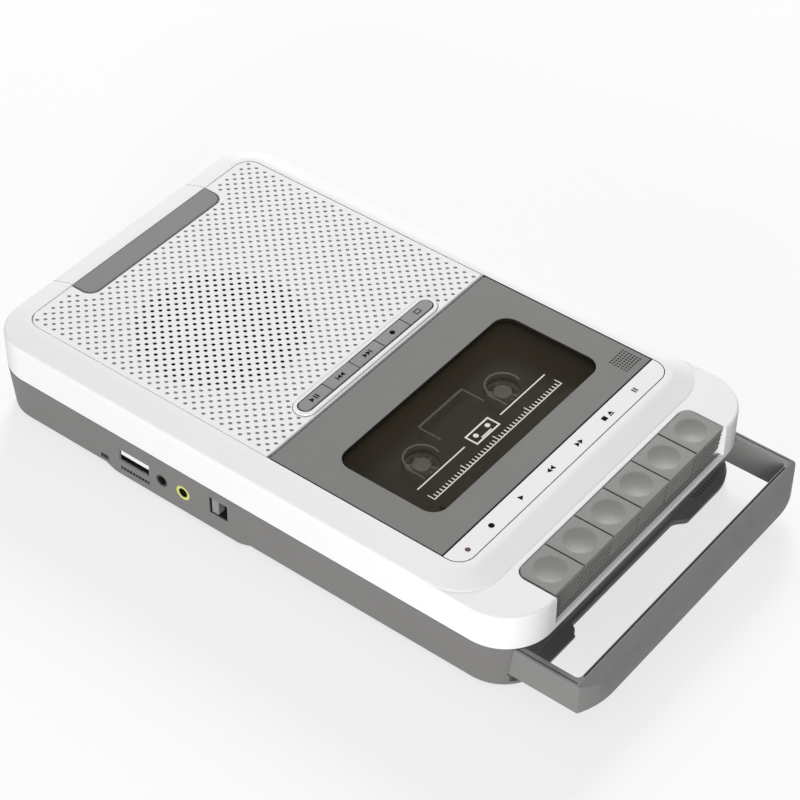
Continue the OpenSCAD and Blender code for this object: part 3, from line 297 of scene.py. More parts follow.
FINISHES = {
    "white_shell": ("f8f8f9", dict(rough=0.55, tone=0.006, bump=0.03, specular=0.15)),
    "white_panel": ("f8f8f8", dict(rough=0.55, tone=0.006, bump=0.05, specular=0.15)),
    # Pale grey for the dimple floors and the bezel's groove, as painted shade
    "dimple": ("999a9a", dict(rough=0.6, tone=0.02)),
    "grey_base": ("7a7978", dict(rough=0.55, tone=0.03, grain=2600, bump=0.12, specular=0.4)),
    "grey_lid": ("7f7f7d", dict(rough=0.6, tone=0.02, grain=2600, bump=0.08, specular=0.3)),
    "key_grey": ("777874", dict(rough=0.5, tone=0.02, grain=2200, bump=0.08, specular=0.9)),
    "button_grey": ("878787", dict(rough=0.45, tone=0.02, grain=2200, bump=0.06, specular=0.4)),
    "smoked_window": ("3d372b", dict(rough=0.08, spread=0.02, tone=0.05, bump=0.0001, alpha=0.4,
                                     specular=0.05)),
    "black_plastic": ("232221", dict(rough=0.5, bump=0.1)),
    "jack_yellow": ("d9dc74", dict(rough=0.35, bump=0.05)),
    "jack_dark": ("27342d", dict(rough=0.4, bump=0.05)),
    "switch_grey": ("5d5e5e", dict(rough=0.5, bump=0.1)),
    "led_red": ("54302d", dict(rough=0.2, bump=0.01, coat=0.4)),
    "cassette_smoke": ("3d372c", dict(rough=0.4, bump=0.004)),
    "reel_white": ("efede7", dict(rough=0.4, bump=0.04)),
    "plated_steel": ("c3c6c9", dict(rough=0.25, metallic=1.0, bump=0.02)),
    "pressed_steel": ("a5a9ad", dict(rough=0.38, metallic=1.0, bump=0.05, stretch=(1, 8, 1))),
    "head_metal": ("8d9196", dict(rough=0.2, metallic=1.0, bump=0.02)),
    "flywheel_metal": ("9a9da1", dict(rough=0.3, metallic=1.0, bump=0.04)),
    "magnet_grey": ("4a4c4f", dict(rough=0.6, bump=0.12)),
    "brass": ("c2a058", dict(rough=0.28, metallic=1.0, bump=0.03)),
    "board_green": ("2b6242", dict(rough=0.4, tone=0.08, bump=0.06)),
    # The speaker cone's paper, and also the dark faces in the grille's dots and button slot as
    # painted shade
    "cone_paper": ("1d1c1b", dict(rough=0.85, tone=0.1, grain=900, bump=0.3)),
    "black_rubber": ("1b1b1b", dict(rough=0.75, grain=1500, bump=0.25)),
    # Black on the lid's sides, in its microphone holes and inside the USB socket, as painted shade
    "recess_black": ("191817", dict(rough=0.6, tone=0.04, bump=0.05)),
    # A lighter, less glossy copy of the key grey for the keys' forward faces, as painted light
    "key_front": ("858682", dict(rough=0.6, tone=0.02, grain=2200, bump=0.08, specular=0.3)),
    "grip_grey": ("898988", dict(rough=0.6, tone=0.02, grain=2600, bump=0.1, specular=0.3)),
    # Dark grey on recess walls, strip edges and handle grooves, as painted shade
    "shade_grey": ("3f3f3e", dict(rough=0.6, tone=0.04, bump=0.1)),
    "knob_grey": ("8d8d8b", dict(rough=0.4, tone=0.03, bump=0.08)),
    "usb_white": ("f2f2f0", dict(rough=0.35, tone=0.02, bump=0.03)),
    "handle_grey": ("868584", dict(rough=0.55, tone=0.03, grain=2600, bump=0.12, specular=0.4)),
    "plate_finish": ("141414", dict(rough=0.8, tone=0.05, specular=0.05)),
    # White for the print on the window, and for the cassette's rims as painted highlights
    "print_and_painted_highlight_white": ("e6e4de", dict(rough=0.55, tone=0.03)),
}
MATS = {name: surface(name, code, **more) for name, (code, more) in FINISHES.items()}


def dress(ob, *names):
    """Gives an object its finishes, the first of them on every face."""
    ob.data.materials.clear()
    for name in names:
        ob.data.materials.append(MATS[name])
    return ob


def second_finish(ob, where):
    """Puts an object's second finish on the faces where where(x, y, z, normal) is true."""
    for face in ob.data.polygons:
        face.material_index = 1 if where(*(face.center / MM), face.normal) else 0
    return ob


def upright(normal):
    return abs(normal.z) < 0.5


def piece(ob, body, slot, *replaced):
    """A finished piece: it rides on a body and stands for nodes; the slot argument is not used."""
    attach(ob, body)
    if replaced:
        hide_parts(*replaced)
    return ob


# Solids that stay: each takes the finish of its slot, or another one, and softer edges
KEYS = ("record", "play", "rewind", "forward", "stop", "pause")
BUTTON_MARKS = {"mode": "run", "previous": "previous", "next": "next", "record": "record",
                "run": "mode"}
SLOT_OF = {row["node"]: row["material_slot"] for row in frame["record"]["subparts"]}
FINISH = {"mic_jack": "jack_dark", "switch_knob": "knob_grey", "battery_grip": "grip_grey"}
REPLACED = ("top_cover", "battery_door", "grille_panel", "base_shell", "handle", "usb_socket",
            "lid")
SOFT = {"label_strip": 0.25, "battery_grip": 0.35, "window_pane": 0.1, "switch_knob": 0.3,
        "volume_wheel": 0.15, "mic_jack": 0.25, "phone_jack": 0.25, "rubber_feet": 0.3,
        "cassette_shell": 0.3, "supply_reel": 0.15, "takeup_reel": 0.15, "supply_spindle": 0.2,
        "takeup_spindle": 0.2, "motor": 0.5, "flywheel": 0.3, "tape_heads": 0.3,
        "pinch_roller": 0.3, "status_led": 0.2, "case_screws": 0.3, "chassis_screws": 0.25,
        "mic_capsule": 0.2}
SOFT.update({"key_" + key: 0.4 for key in KEYS})
SOFT.update({"button_" + button: 0.25 for button in BUTTON_MARKS})
for name, ob in NODES.items():
    if name not in REPLACED:
        dress(ob, FINISH.get(name, SLOT_OF[name]))
        soften(ob, SOFT.get(name, 0))


def key_front(x, y, z, normal):
    """True for the front of a key and for the faces that lean in under it, which take a lighter copy
    of the key grey as painted light.
    """
    return normal.y < -0.5 or (normal.y < -0.05 and normal.z < -0.1)


# The strip's upright edges take a dark grey as painted shade in the gaps round it
second_finish(dress(NODES["label_strip"], "white_panel", "shade_grey"),
              lambda x, y, z, normal: upright(normal))
# The keys' forward faces take a lighter copy of their grey, as painted light
for key in KEYS:
    second_finish(dress(NODES["key_" + key], "key_grey", "key_front"), key_front)

# Top cover and battery door
SEAM_EASE, SLOPE_W, DECK_EDGE_R, DECK_TOP_R, DECK_IN = 0.35, 7.8, 1.6, 6.0, 9.4
STEP_EDGE_R, STEP_IN, STEP_BACK, STEP_BACK_R = 0.9, 3, -39, 4
HOLLOW_HW, WELL_HW, Z_LID_BED = 53, 51.2, 31.3
BAY_HW, BAY_R, BAY_BACK, BAY_LIP, SILL_T = 45.6, 4.0, 1.2, 0.35, 1.1
LED, LED_R = (-48.5, -65.6), 0.9


def cover_outer(name):
    """Outside of the cover: a deck with sloped edges, and the platform in front of it."""
    foot = [(SEAM_EASE, Z_SEAM, 0), (0, Z_SEAM + SEAM_EASE, 0)]
    hw = BODY_HW - 0.01

    def deck(d):
        return rounded((d - BODY_HW, BODY_HW - d), (Y_CREASE + d, Y_REAR - d),
                       DECK_R - d, DECK_R - d, CORNER_N)

    def platform(d):
        return rounded((d - hw, hw - d), (Y_FRONT + d, STEP_BACK - d),
                       FRONT_R - d, STEP_BACK_R - d, CORNER_N)

    deck_side = filleted(foot + [(0, Z_CREASE, DECK_EDGE_R), (SLOPE_W, Z_TOP, DECK_TOP_R),
                                 (DECK_IN, Z_TOP, 0)], 6)
    step_side = filleted(foot + [(0, Z_CREASE, STEP_EDGE_R), (STEP_IN, Z_CREASE, 0)], 6)
    ob = loft(name, level_rings(deck, deck_side))
    return boolean(ob, loft("platform", level_rings(platform, step_side)), "UNION")


def cut_hollow(ob):
    """Cuts the room inside the cover, and the higher room under its panels."""
    low = rounded((WALL - BODY_HW, BODY_HW - WALL), (Y_FRONT + WALL, Y_REAR - WALL),
                  FRONT_R - WALL, DECK_R - WALL)
    boolean(ob, prism("hollow", low, (Z_SEAM - OVER, Z_ROOF)))
    return boolean(ob, block("hollow_high", (-HOLLOW_HW, HOLLOW_HW),
                             (Y_PANEL_FRONT + 1, Y_PANEL_REAR - 1), (Z_ROOF - OVER, Z_SHELF)))


def bay_cutter():
    """Opening for the keys, with a rounded lip at its upper edge."""
    rise = [(0, Z_SILL)]
    for a in range(0, 91, 15):
        turn = math.radians(a)
        rise.append((BAY_LIP * (1 - math.cos(turn)), Z_CREASE - BAY_LIP * (1 - math.sin(turn))))
    rise.append((BAY_LIP, Z_TOP))
    return loft("bay", level_rings(
        lambda d: rounded((-BAY_HW - d, BAY_HW + d), (Y_FRONT - OVER, Y_CREASE - BAY_BACK + d),
                          0, BAY_R + d), rise))


cover = cut_hollow(cover_outer("cover"))
for x in (-BAY_HW - WALL, BAY_HW):
    boolean(cover, block("bay_wall", (x, x + WALL), (Y_FRONT + WALL - REACH, Y_CREASE + 1),
                         (Z_SEAM + 0.02, Z_ROOF + REACH)), "UNION")
for p in SCREWS:
    boolean(cover, post("boss", p, (Z_BOSS, Z_ROOF + REACH), BOSS_R), "UNION")
recess_x = (-PANEL_HW - GAP, PANEL_HW + GAP)
through_roof = (Z_ROOF - REACH, Z_TOP)
for cut in (
    prism("recess", rounded(recess_x, (Y_PANEL_FRONT - GAP, Y_PANEL_REAR + GAP), PANEL_R, PANEL_R),
          (Z_PLATE, Z_TOP + OVER)),
    block("lid_bed", recess_x, (Y_STRIP - GAP, Y_SPLIT + GAP / 2), (Z_LID_BED, Z_TOP + OVER)),
    block("well", (-WELL_HW, WELL_HW), (Y_STRIP + 1, Y_SPLIT - GAP), (Z_ROOF - OVER, Z_TOP)),
    bay_cutter(),
    block("sill", (-BAY_HW, BAY_HW), (Y_FRONT + SILL_T, Y_FRONT + WALL + OVER),
          (Z_SEAM - OVER, Z_SILL + OVER)),
    block("battery_mouth", (-BAT_HW, BAT_HW), (Y_GRIP, Y_REAR + OVER),
          (Z_SEAM - OVER, Z_TOP + OVER)),
    post("mouth", SPEAKER, through_roof, MOUTH_R, 96),
    prism("button_mouth", stadium(ROW_HW + GAP, BUTTON_HALF + GAP, BUTTON_Y), through_roof),
    post("led_mouth", LED, through_roof, LED_R, 24),
):
    boolean(cover, cut)


def painted_shade_recess_wall(x, y, z, normal):
    """True for the walls of the recess round the lid and the label strip, which take a dark grey as
    painted shade.
    """
    return (abs(x) < PANEL_HW + 1 and Y_PANEL_FRONT - 1 < y < Y_SPLIT
            and Z_PLATE - 0.1 < z < Z_TOP - 0.1 and upright(normal))


# The recess walls take the dark grey as painted shade
second_finish(dress(cover, "white_shell", "shade_grey"), painted_shade_recess_wall)
piece(smooth(cover), "case", "white_shell", "top_cover")

door = cut_hollow(cover_outer("battery_cover"))
door_x = (GAP - BAT_HW, BAT_HW - GAP)
boolean(door, block("door_room", door_x, (Y_PANEL_REAR + GAP, Y_REAR + OVER),
                    (Z_SEAM + GAP, Z_TOP + OVER)), "INTERSECT")
boolean(door, block("tongue", door_x, (Y_GRIP + GAP, Y_PANEL_REAR + 1), (Z_SHELF, Z_PLATE)),
        "UNION")
piece(smooth(dress(door, "white_shell")), "battery_cover", "white_shell", "battery_door")

# Base shell
TAPER, BASE_IN, BASE_EDGE_R, HOLLOW, SEAM_DROP = 1.4, 9, 1.1, 4.2, 0.4
PAD_X, PAD_Y, PAD_STEP, PAD_ROOT, PAD_BLEND = -64.6, (11.9, 61.5), 2.4, 6.0, (8.0, 13.0)
PAD_IN, PAD_EDGE_R = 1.4, 0.8
HANDLE_HW, ARM_IN, Y_POCKET, POCKET_HW, Z_ARM_WAY = 59.6, 56.7, -90.0, 57.2, 6.0
ARM_WAYS = ((ARM_IN - GAP, -80.0), (ARM_IN - 1.9, -87.2))
GUIDE_X, GUIDE_T, GUIDE_END = (-56.4, 55.0), 1.4, -58.3
RIB_X, RIB_STEP, RIB_N, RIB_T, RIB_H, RIB_Y, RIB_FIELD = 38.5, 1.5, 8, 0.6, 0.4, -94.0, 37.5
LIP_X, LIP_BEND, LIP_Y = (-29, 25.6, 33.3), 7.7, (-91.1, -95.9)
TAB, TAB_R, TAB_X = (-32, -91), 3, -28.9
CHASSIS_HW, STAND_R, Z_CHASSIS, Z_BOARD = 52.3, 2.6, 13.2, 5.6
CHASSIS_POSTS = [(6.3 - CHASSIS_HW, -60.3), (6.3 - CHASSIS_HW, -6.1), (CHASSIS_HW - 2.3, -2.1),
                 (38, -22.1)]
BOARD_POSTS = [(-29, 15.9), (-29, 69.9), (-54.9, 13.9)]
FOOT_X, FOOT_Y, FOOT_R, Z_FOOT = 46, (84.1, -69.1), 5.0, 1.5
HEAD_R, Z_HEAD, SHANK_R, SHANK_Z, PILOT_R, PILOT_Z = 2.9, 3.8, 1.4, (3, 9), 1.1, (7.2, 14)
USB_CUT, CARD_CUT, SWITCH_CUT, MIC_R, PHONE_R = (13.0, 4.7), (12.4, 1.3), (7.4, 6.6), 2.3, 2.75
WHEEL, WHEEL_R, WHEEL_Z = (-56.6, 68.3), 7.0, (2.95, 5.05)


def base_outline(d):
    return rounded((d - BODY_HW, BODY_HW - d), (Y_FRONT + d, Y_REAR - d),
                   FRONT_R - d, DECK_R - d, CORNER_N)


def pad_outline(d):
    """Outline of the raised field round the ports, with its face drawn in by d."""
    face, root = PAD_X + d, PAD_X + PAD_ROOT
    bend = [(i / 10, (1 - math.cos(math.pi * i / 10)) / 2) for i in range(11)]
    rear = [(face + (PAD_STEP - d) * s, PAD_Y[1] + PAD_BLEND[1] * t) for t, s in reversed(bend)]
    front = [(face + (PAD_STEP - d) * s, PAD_Y[0] - PAD_BLEND[0] * t) for t, s in bend]
    return [(root, PAD_Y[0] - PAD_BLEND[0]), (root, PAD_Y[1] + PAD_BLEND[1])] + rear + front


def side_cut(name, y, z, size):
    w, h = size
    return block(name, PORT_X, (y - w / 2, y + w / 2), (z - h / 2, z + h / 2))


def lip_cutter():
    """Cut that leaves the floor lip as two tabs, the right one with a curved shoulder."""
    back, low = LIP_Y
    bend = [(LIP_X[1] + LIP_BEND * i / 12,
             back + (low - back) * (1 - math.cos(math.pi * i / 12)) / 2) for i in range(13)]
    outline = ([(LIP_X[0], Y_FRONT - OVER), (LIP_X[0], back)] + bend
               + [(LIP_X[2], Y_FRONT - OVER)])
    return prism("lip", outline[::-1], LIP_Z)


PORT_X = (PAD_X - OVER, PAD_X + PAD_ROOT)
LIP_Z = (Z_BASE - OVER, Z_FLOOR + OVER)
Z_ROOT = Z_FLOOR - REACH
seam_side = [(0, Z_SEAM - SEAM_DROP, 0), (SEAM_DROP, Z_SEAM, 0)]
base_side = filleted([(BASE_IN, Z_BASE, 0), (TAPER, Z_BASE, BASE_EDGE_R)] + seam_side, 6)
pad_side = filleted([(PAD_IN, Z_BASE, 0), (0, Z_BASE, PAD_EDGE_R)] + seam_side, 4)
base = loft("base", level_rings(base_outline, base_side))
boolean(base, loft("pad", level_rings(pad_outline, pad_side)), "UNION")
boolean(base, loft("room", level_rings(base_outline, [(HOLLOW, Z_FLOOR), (WALL, Z_SEAM + 0.1)])))
for addition in (
    [block("pocket_wall", (-POCKET_HW, POCKET_HW), (Y_POCKET, Y_POCKET + WALL),
           (Z_ROOT, Z_SEAM - 0.02))]
    + [block("guide", (x, x + GUIDE_T), (Y_POCKET + 0.01, GUIDE_END), (Z_ROOT, Z_SEAM - 1))
       for x in GUIDE_X]
    + [post("boss", p, (Z_ROOT, Z_BOSS), BOSS_R) for p in SCREWS]
    + [post("stand", p, (Z_ROOT, Z_CHASSIS), STAND_R) for p in CHASSIS_POSTS]
    + [post("stand", p, (Z_ROOT, Z_BOARD), STAND_R) for p in BOARD_POSTS]
    + [block("rib", (x, x + RIB_T), (RIB_Y, Y_POCKET + REACH), (Z_ROOT, Z_FLOOR + RIB_H))
       for x in (RIB_X + RIB_STEP * i for i in range(RIB_N))]
):
    boolean(base, addition, "UNION")
gate = HANDLE_HW + GAP
pocket_y = (Y_FRONT - OVER, Y_POCKET)
cuts = [
    block("pocket", (-gate, gate), pocket_y, (Z_FLOOR + RIB_H, Z_SEAM + OVER)),
    block("pocket_low", (-gate, RIB_FIELD), pocket_y, (Z_FLOOR, Z_SEAM + OVER)),
    lip_cutter(),
    prism("tab_corner", [(TAB[0], Y_FRONT - OVER), (TAB_X, Y_FRONT - OVER), (TAB_X, TAB[1])]
          + arc(TAB[0], TAB[1], TAB_R, 0, -90, NOTCH_N), LIP_Z),
    side_cut("usb", USB_Y, USB_Z, USB_CUT),
    side_cut("card", USB_Y, CARD_Z, CARD_CUT),
    rod_x("mic", PORT_X, MIC_Y, JACK_Z, MIC_R),
    rod_x("phone", PORT_X, PHONE_Y, JACK_Z, PHONE_R),
    side_cut("switch", SWITCH_Y, SWITCH_Z, SWITCH_CUT),
    post("wheel", WHEEL, WHEEL_Z, WHEEL_R + GAP, 64),
]
for s in (-1, 1):
    for inner, y_end in ARM_WAYS:
        x = sorted((s * inner, s * gate))
        cuts.append(block("arm_way", x, (Y_FRONT - OVER, y_end), (Z_ARM_WAY, Z_SEAM + OVER)))
    for y in FOOT_Y:
        cuts.append(post("foot", (FOOT_X * s, y), (Z_BASE - OVER, Z_FOOT), FOOT_R))
for p in SCREWS:
    cuts += [post("head", p, (Z_BASE - OVER, Z_HEAD), HEAD_R),
             post("shank", p, SHANK_Z, SHANK_R, 24)]
for p in CHASSIS_POSTS:
    cuts.append(post("pilot", p, PILOT_Z, PILOT_R, 24))
for cut in cuts:
    boolean(base, cut)
piece(smooth(dress(base, "grey_base"), 28), "case", "grey_base", "base_shell")

# Handle, with fine grooves along its bar and its arms, whose faces are dark grey as painted shade
EDGE, HANDLE_TOP = 0.3, 18.0
BAR_GROOVE_HW, BAR_GROOVE_Y, BAR_GROOVE_DEPTH = 55.1, (-113.45, -112.85), 0.45
ARM_GROOVE_X, ARM_GROOVE_T = (-58.75, 58.4), 0.35
ARM_GROOVE_Y, ARM_GROOVE_DEPTH = (-113.2, -60), 0.3


def painted_shade_in_groove(x, y, z, normal):
    """True for the faces that the grooves have cut into the handle, which take a dark grey as painted
    shade.
    """
    in_bar = (abs(x) < BAR_GROOVE_HW + 0.1
              and BAR_GROOVE_Y[0] - 0.01 < y < BAR_GROOVE_Y[1] + 0.01)
    in_arm = (-ARM_GROOVE_X[0] - ARM_GROOVE_T - 0.1 < abs(x) < ARM_GROOVE_X[1] + ARM_GROOVE_T + 0.05
              and ARM_GROOVE_Y[0] - 0.1 < y < ARM_GROOVE_Y[1] + 0.1)
    sunk = HANDLE_TOP - BAR_GROOVE_DEPTH - 0.01 < z < HANDLE_TOP - 0.02
    return (in_bar or in_arm) and sunk


handle = dress(add("handle_bar", NODES["handle"].data.copy()), "handle_grey", "shade_grey")
baked(soften(handle, EDGE))
boolean(handle, block("groove", (-BAR_GROOVE_HW, BAR_GROOVE_HW), BAR_GROOVE_Y,
                      (HANDLE_TOP - BAR_GROOVE_DEPTH, HANDLE_TOP + OVER)))
for x in ARM_GROOVE_X:
    boolean(handle, block("arm_groove", (x, x + ARM_GROOVE_T), ARM_GROOVE_Y,
                          (HANDLE_TOP - ARM_GROOVE_DEPTH, HANDLE_TOP + OVER)))
piece(smooth(second_finish(handle, painted_shade_in_groove)), "handle", "grey_base", "handle")

# Grille panel
HOLE_STEP, HOLE_R, HOLE_ROOM, HOLE_SIDES = 1.88, 0.7, 0.45, 12
# Dots within SHADED_R of the speaker are dark inside, as painted shade
HOLE_ROWS, HOLE_COLUMNS, SHADED_R = 55, 29, 29.0
PANEL_BEVEL, DIMPLE, HOLE_LIP = 0.22, 0.35, 0.2
BEZEL_T, BEZEL_H, BEZEL_EDGE_R, BEZEL_SLOT_R, BEZEL_GROOVE = 1.4, 0.5, 0.3, 0.2, 0.3


def panel_outline(d):
    """Outline of the grille panel drawn in by d, with the notch for the grip bar."""
    x, y0, y1, r = PANEL_HW - d, Y_SPLIT + GAP + d, Y_PANEL_REAR - d, PANEL_R - d
    nx, ny, nr = BAT_HW + GAP + d, Y_GRIP - GAP - d, GRIP_R + GAP + d
    return ([(-x, y0), (x, y0)] + arc(x - r, y1 - r, r, 0, 90, NOTCH_N) + [(nx, y1)]
            + arc(nx - nr, ny + nr, nr, 0, -90, NOTCH_N)
            + arc(nr - nx, ny + nr, nr, -90, -180, NOTCH_N)
            + [(-nx, y1)] + arc(r - x, y1 - r, r, 90, 180, NOTCH_N))


def clear_of_edges(x, y):
    """True where a dot has room between the panel's edges, the grip bar and the button row."""
    room = HOLE_R + HOLE_ROOM
    if abs(x) > PANEL_HW - room or y > Y_PANEL_REAR - room or y < Y_SPLIT + GAP + room:
        return False
    cx, cy = PANEL_HW - PANEL_R, Y_PANEL_REAR - PANEL_R
    if abs(x) > cx and y > cy and math.hypot(abs(x) - cx, y - cy) > PANEL_R - room:
        return False
    if abs(x) < BAT_HW + GAP + room and y > Y_GRIP - GAP - room:
        return False
    reach = ROW_HW - BUTTON_HALF
    off = math.hypot(max(0, abs(x) - reach), y - BUTTON_Y)
    return off > BUTTON_HALF + GAP + BEZEL_T + room


def grille():
    """The panel: every dot is sunk in its face, open over the speaker and a dimple elsewhere. Inside
    the dots, the pale grey and dark faces are painted shade.
    """
    verts, faces, pale_shade_faces, dark_shade_faces = [], [], [], []
    dots = []
    for j in range(1, HOLE_ROWS + 1):
        for i in range(-HOLE_COLUMNS, HOLE_COLUMNS + 1):
            x, y = i * HOLE_STEP, Y_SPLIT + j * HOLE_STEP
            if (i + j) % 2 and clear_of_edges(x, y):
                off = math.hypot(x - SPEAKER[0], y - SPEAKER[1])
                dots.append((x, y, off < MOUTH_R - 2 * HOLE_R, off < SHADED_R))

    def ring(outline, z):
        start = len(verts)
        verts.extend((x, y, z) for x, y in outline)
        return list(range(start, start + len(outline)))

    def wall(upper, lower, finish=None):
        n = len(upper)
        if finish is not None:
            finish.extend(range(len(faces), len(faces) + n))
        faces.extend((upper[i], lower[i], lower[(i + 1) % n], upper[(i + 1) % n]) for i in range(n))

    def sheet(outer, holes, up):
        """Fills between an outer ring and holes with triangles."""
        loops = [outer] + holes
        ids = [v for loop in loops for v in loop]
        owner = [k for k, loop in enumerate(loops) for v in loop]
        edges, at = [], 0
        for loop in loops:
            n = len(loop)
            edges += [(at + i, at + (i + 1) % n) for i in range(n)]
            at += n
        flat = [Vector(verts[v][:2]) for v in ids]
        out = delaunay_2d_cdt(flat, edges, [], 1, 1e-6)
        source = [s[0] for s in out[3]]
        for tri in out[2]:
            own = [source[v] for v in tri]
            # A triangle with all its corners on one hole lies in that hole
            if owner[own[0]] and owner[own[0]] == owner[own[1]] == owner[own[2]]:
                continue
            tri = tuple(ids[v] for v in own)
            a, b, c = (Vector(verts[v][:2]) for v in tri)
            turned = (b - a).cross(c - a) > 0
            faces.append(tri if turned == up else tuple(reversed(tri)))

    # Panel's edge from its face down, and the bezel's section from its groove to the button slot
    top, edge, low = (ring(panel_outline(d), z) for d, z in (
        (PANEL_BEVEL, Z_TOP), (0, Z_TOP - PANEL_BEVEL), (0, Z_PLATE)))
    z_groove, z_rim = Z_TOP - BEZEL_GROOVE, Z_TOP + BEZEL_H
    groove = [(BEZEL_T + BEZEL_GROOVE, Z_TOP), (BEZEL_T + BEZEL_GROOVE, z_groove)]
    rim = filleted([(BEZEL_T, z_groove, 0), (BEZEL_T, z_rim, BEZEL_EDGE_R),
                    (0, z_rim, BEZEL_SLOT_R), (0, Z_PLATE, 0)], 4)
    rings = [ring(stadium(ROW_HW + GAP + d, BUTTON_HALF + GAP + d, BUTTON_Y), z)
             for d, z in groove + rim]
    top_holes, low_holes = [rings[0]], [rings[-1]]
    # Dimple floors are pale grey as painted shade; near the speaker the floors, and the open holes'
    # walls below their lip, are dark as painted shade
    for x, y, through, shaded in dots:
        outline = disc(x, y, HOLE_R, HOLE_SIDES)
        a = ring(outline, Z_TOP)
        b = ring(outline, Z_TOP - (HOLE_LIP if shaded else DIMPLE))
        top_holes.append(a)
        wall(b, a)
        if through:
            c = ring(outline, Z_PLATE)
            wall(c, b, dark_shade_faces)
            low_holes.append(c)
        else:
            (dark_shade_faces if shaded else pale_shade_faces).append(len(faces))
            faces.append(tuple(b))
    sheet(top, top_holes, True)
    sheet(low, low_holes, False)
    wall(top, edge)
    wall(edge, low)
    # The groove's faces take the pale grey, and the slot's edge and wall the dark paper, both as
    # painted shade
    slot_from = len(rings) - 5
    for k, (a, b) in enumerate(zip(rings, rings[1:])):
        wall(b, a, pale_shade_faces if k < 2 else dark_shade_faces if k >= slot_from else None)
    # The pale grey and the cone's dark paper on the panel's own faces are painted shade
    ob = dress(make("grille", verts, faces), "white_panel", "dimple", "cone_paper")
    for index, found in ((1, pale_shade_faces), (2, dark_shade_faces)):
        for k in found:
            ob.data.polygons[k].material_index = index
    return ob


piece(smooth(grille()), "case", "white_panel", "grille_panel")

# Linings of the jacks, the switch and the card slot, black as painted shade inside the openings, and
# the USB socket
BORE_R, BORE_X, BORE_T, BORE_SIDES = 1.78, (-64.4, -58.0), 0.2, 24
SLEEVE_T, SLEEVE_PLAY, SLEEVE_R = 0.15, 0.04, 0.3
SWITCH_WELL_X, CARD_MOUTH_X = (-64.2, -60.7), (-64.3, -60.8)
USB_SHELL, USB_SHELL_R, USB_ROOM, USB_ROOM_R = (12.9, 4.6), 0.4, (12.3, 4.0), 0.3
USB_TONGUE, USB_TONGUE_R, USB_TONGUE_RISE = (11.9, 2.0), 0.25, 0.9
# Sections along X of the USB socket: how far each ring is drawn in, and where it stands
USB_SHELL_RUN = ((0.1, -64.4), (0, -64.3), (0, -50.6))
USB_ROOM_RUN = ((0, -66), (0, -52))
USB_TONGUE_RUN = ((0.15, -64.25), (0, -64.1), (0, -51.8))
GUARD_X, GUARD_Z, GUARD_HALF, GUARD_STEP, GUARD_N = (-64.45, -63.6), (4.3, 5.32), 0.25, 1.3, 9


def cup(name, outline, x, thick):
    """A thin cup along X, open towards the left; outline(d) gives its ring drawn in by d."""
    rings = side_rings(outline, ((0, x[0]), (0, x[1]), (thick, x[1] - thick), (thick, x[0])))
    n = len(rings[0])
    faces = [tuple(range(n, 2 * n)), tuple(reversed(range(2 * n, 3 * n)))]
    faces += tube(n, 0, n) + tube(n, 2 * n, 3 * n) + tube(n, 3 * n, 0)
    return make(name, [v for ring in rings for v in ring], faces)


def sleeve(name, outline, x, thick):
    """A thin band along X, open at both ends."""
    rings = side_rings(outline, ((0, x[0]), (0, x[1]), (thick, x[1]), (thick, x[0])))
    n = len(rings[0])
    faces = [face for k in range(4) for face in tube(n, k * n, (k + 1) % 4 * n)]
    return make(name, [v for ring in rings for v in ring], faces)


def window_of(y, z, size, r, play=0):
    """Outline of a port's opening, as a function of how far it is drawn in."""
    w, h = size[0] - play, size[1] - play
    return lambda d: rounded((y - w / 2 + d, y + w / 2 - d), (z - h / 2 + d, z + h / 2 - d),
                             r, r, 4)


linings = [cup(name + "_bore", lambda d: disc(y, JACK_Z, BORE_R - d, BORE_SIDES), BORE_X, BORE_T)
           for name, y in (("mic", MIC_Y), ("phone", PHONE_Y))]
linings += [
    sleeve("switch_well", window_of(SWITCH_Y, SWITCH_Z, SWITCH_CUT, SLEEVE_R, SLEEVE_PLAY),
           SWITCH_WELL_X, SLEEVE_T),
    sleeve("card_mouth", window_of(USB_Y, CARD_Z, CARD_CUT, SLEEVE_R, SLEEVE_PLAY),
           CARD_MOUTH_X, SLEEVE_T)]
# The black linings are painted shade inside the openings
for lining in linings:
    piece(smooth(dress(lining, "black_plastic")), "case", "black_plastic")


def painted_shade_in_socket(x, y, z, normal):
    """True for the faces inside the USB socket's shell, which are black as painted shade."""
    return (x > USB_SHELL_RUN[1][1] + 0.1 and abs(y - USB_Y) < USB_ROOM[0] / 2 + 0.05
            and abs(z - USB_Z) < USB_ROOM[1] / 2 + 0.1)


shell = loft("usb_shell", side_rings(window_of(USB_Y, USB_Z, USB_SHELL, USB_SHELL_R),
                                     USB_SHELL_RUN))
boolean(shell, loft("usb_room", side_rings(window_of(USB_Y, USB_Z, USB_ROOM, USB_ROOM_R),
                                           USB_ROOM_RUN)))
second_finish(dress(shell, "plated_steel", "recess_black"), painted_shade_in_socket)
piece(smooth(shell), "case", "plated_steel", "usb_socket")
tongue = loft("usb_tongue", side_rings(
    window_of(USB_Y, USB_Z + USB_TONGUE_RISE, USB_TONGUE, USB_TONGUE_R), USB_TONGUE_RUN))
piece(smooth(dress(tongue, "usb_white")), "case", "white_panel")
guard_y = [USB_Y + GUARD_STEP * (i - GUARD_N // 2) for i in range(GUARD_N)]
guard = prisms("card_guard", [rounded(GUARD_X, (y - GUARD_HALF, y + GUARD_HALF), 0, 0)
                              for y in guard_y], GUARD_Z)
piece(smooth(dress(guard, "switch_grey")), "case", "black_plastic")

# Lid, with fine blind holes over the microphone; its sides and the insides of the holes are black as
# painted shade
MIC, MIC_HOLE, MIC_DEPTH = (49.3, -55.0), 0.28, 1.6
MIC_PITCH, MIC_COUNT = (1.05, 1.1), (8, 7)
PLUG, PLUG_HALF, PLUG_DEPTH = (46.7, -56.3), (4.2, 3.8), 3.2


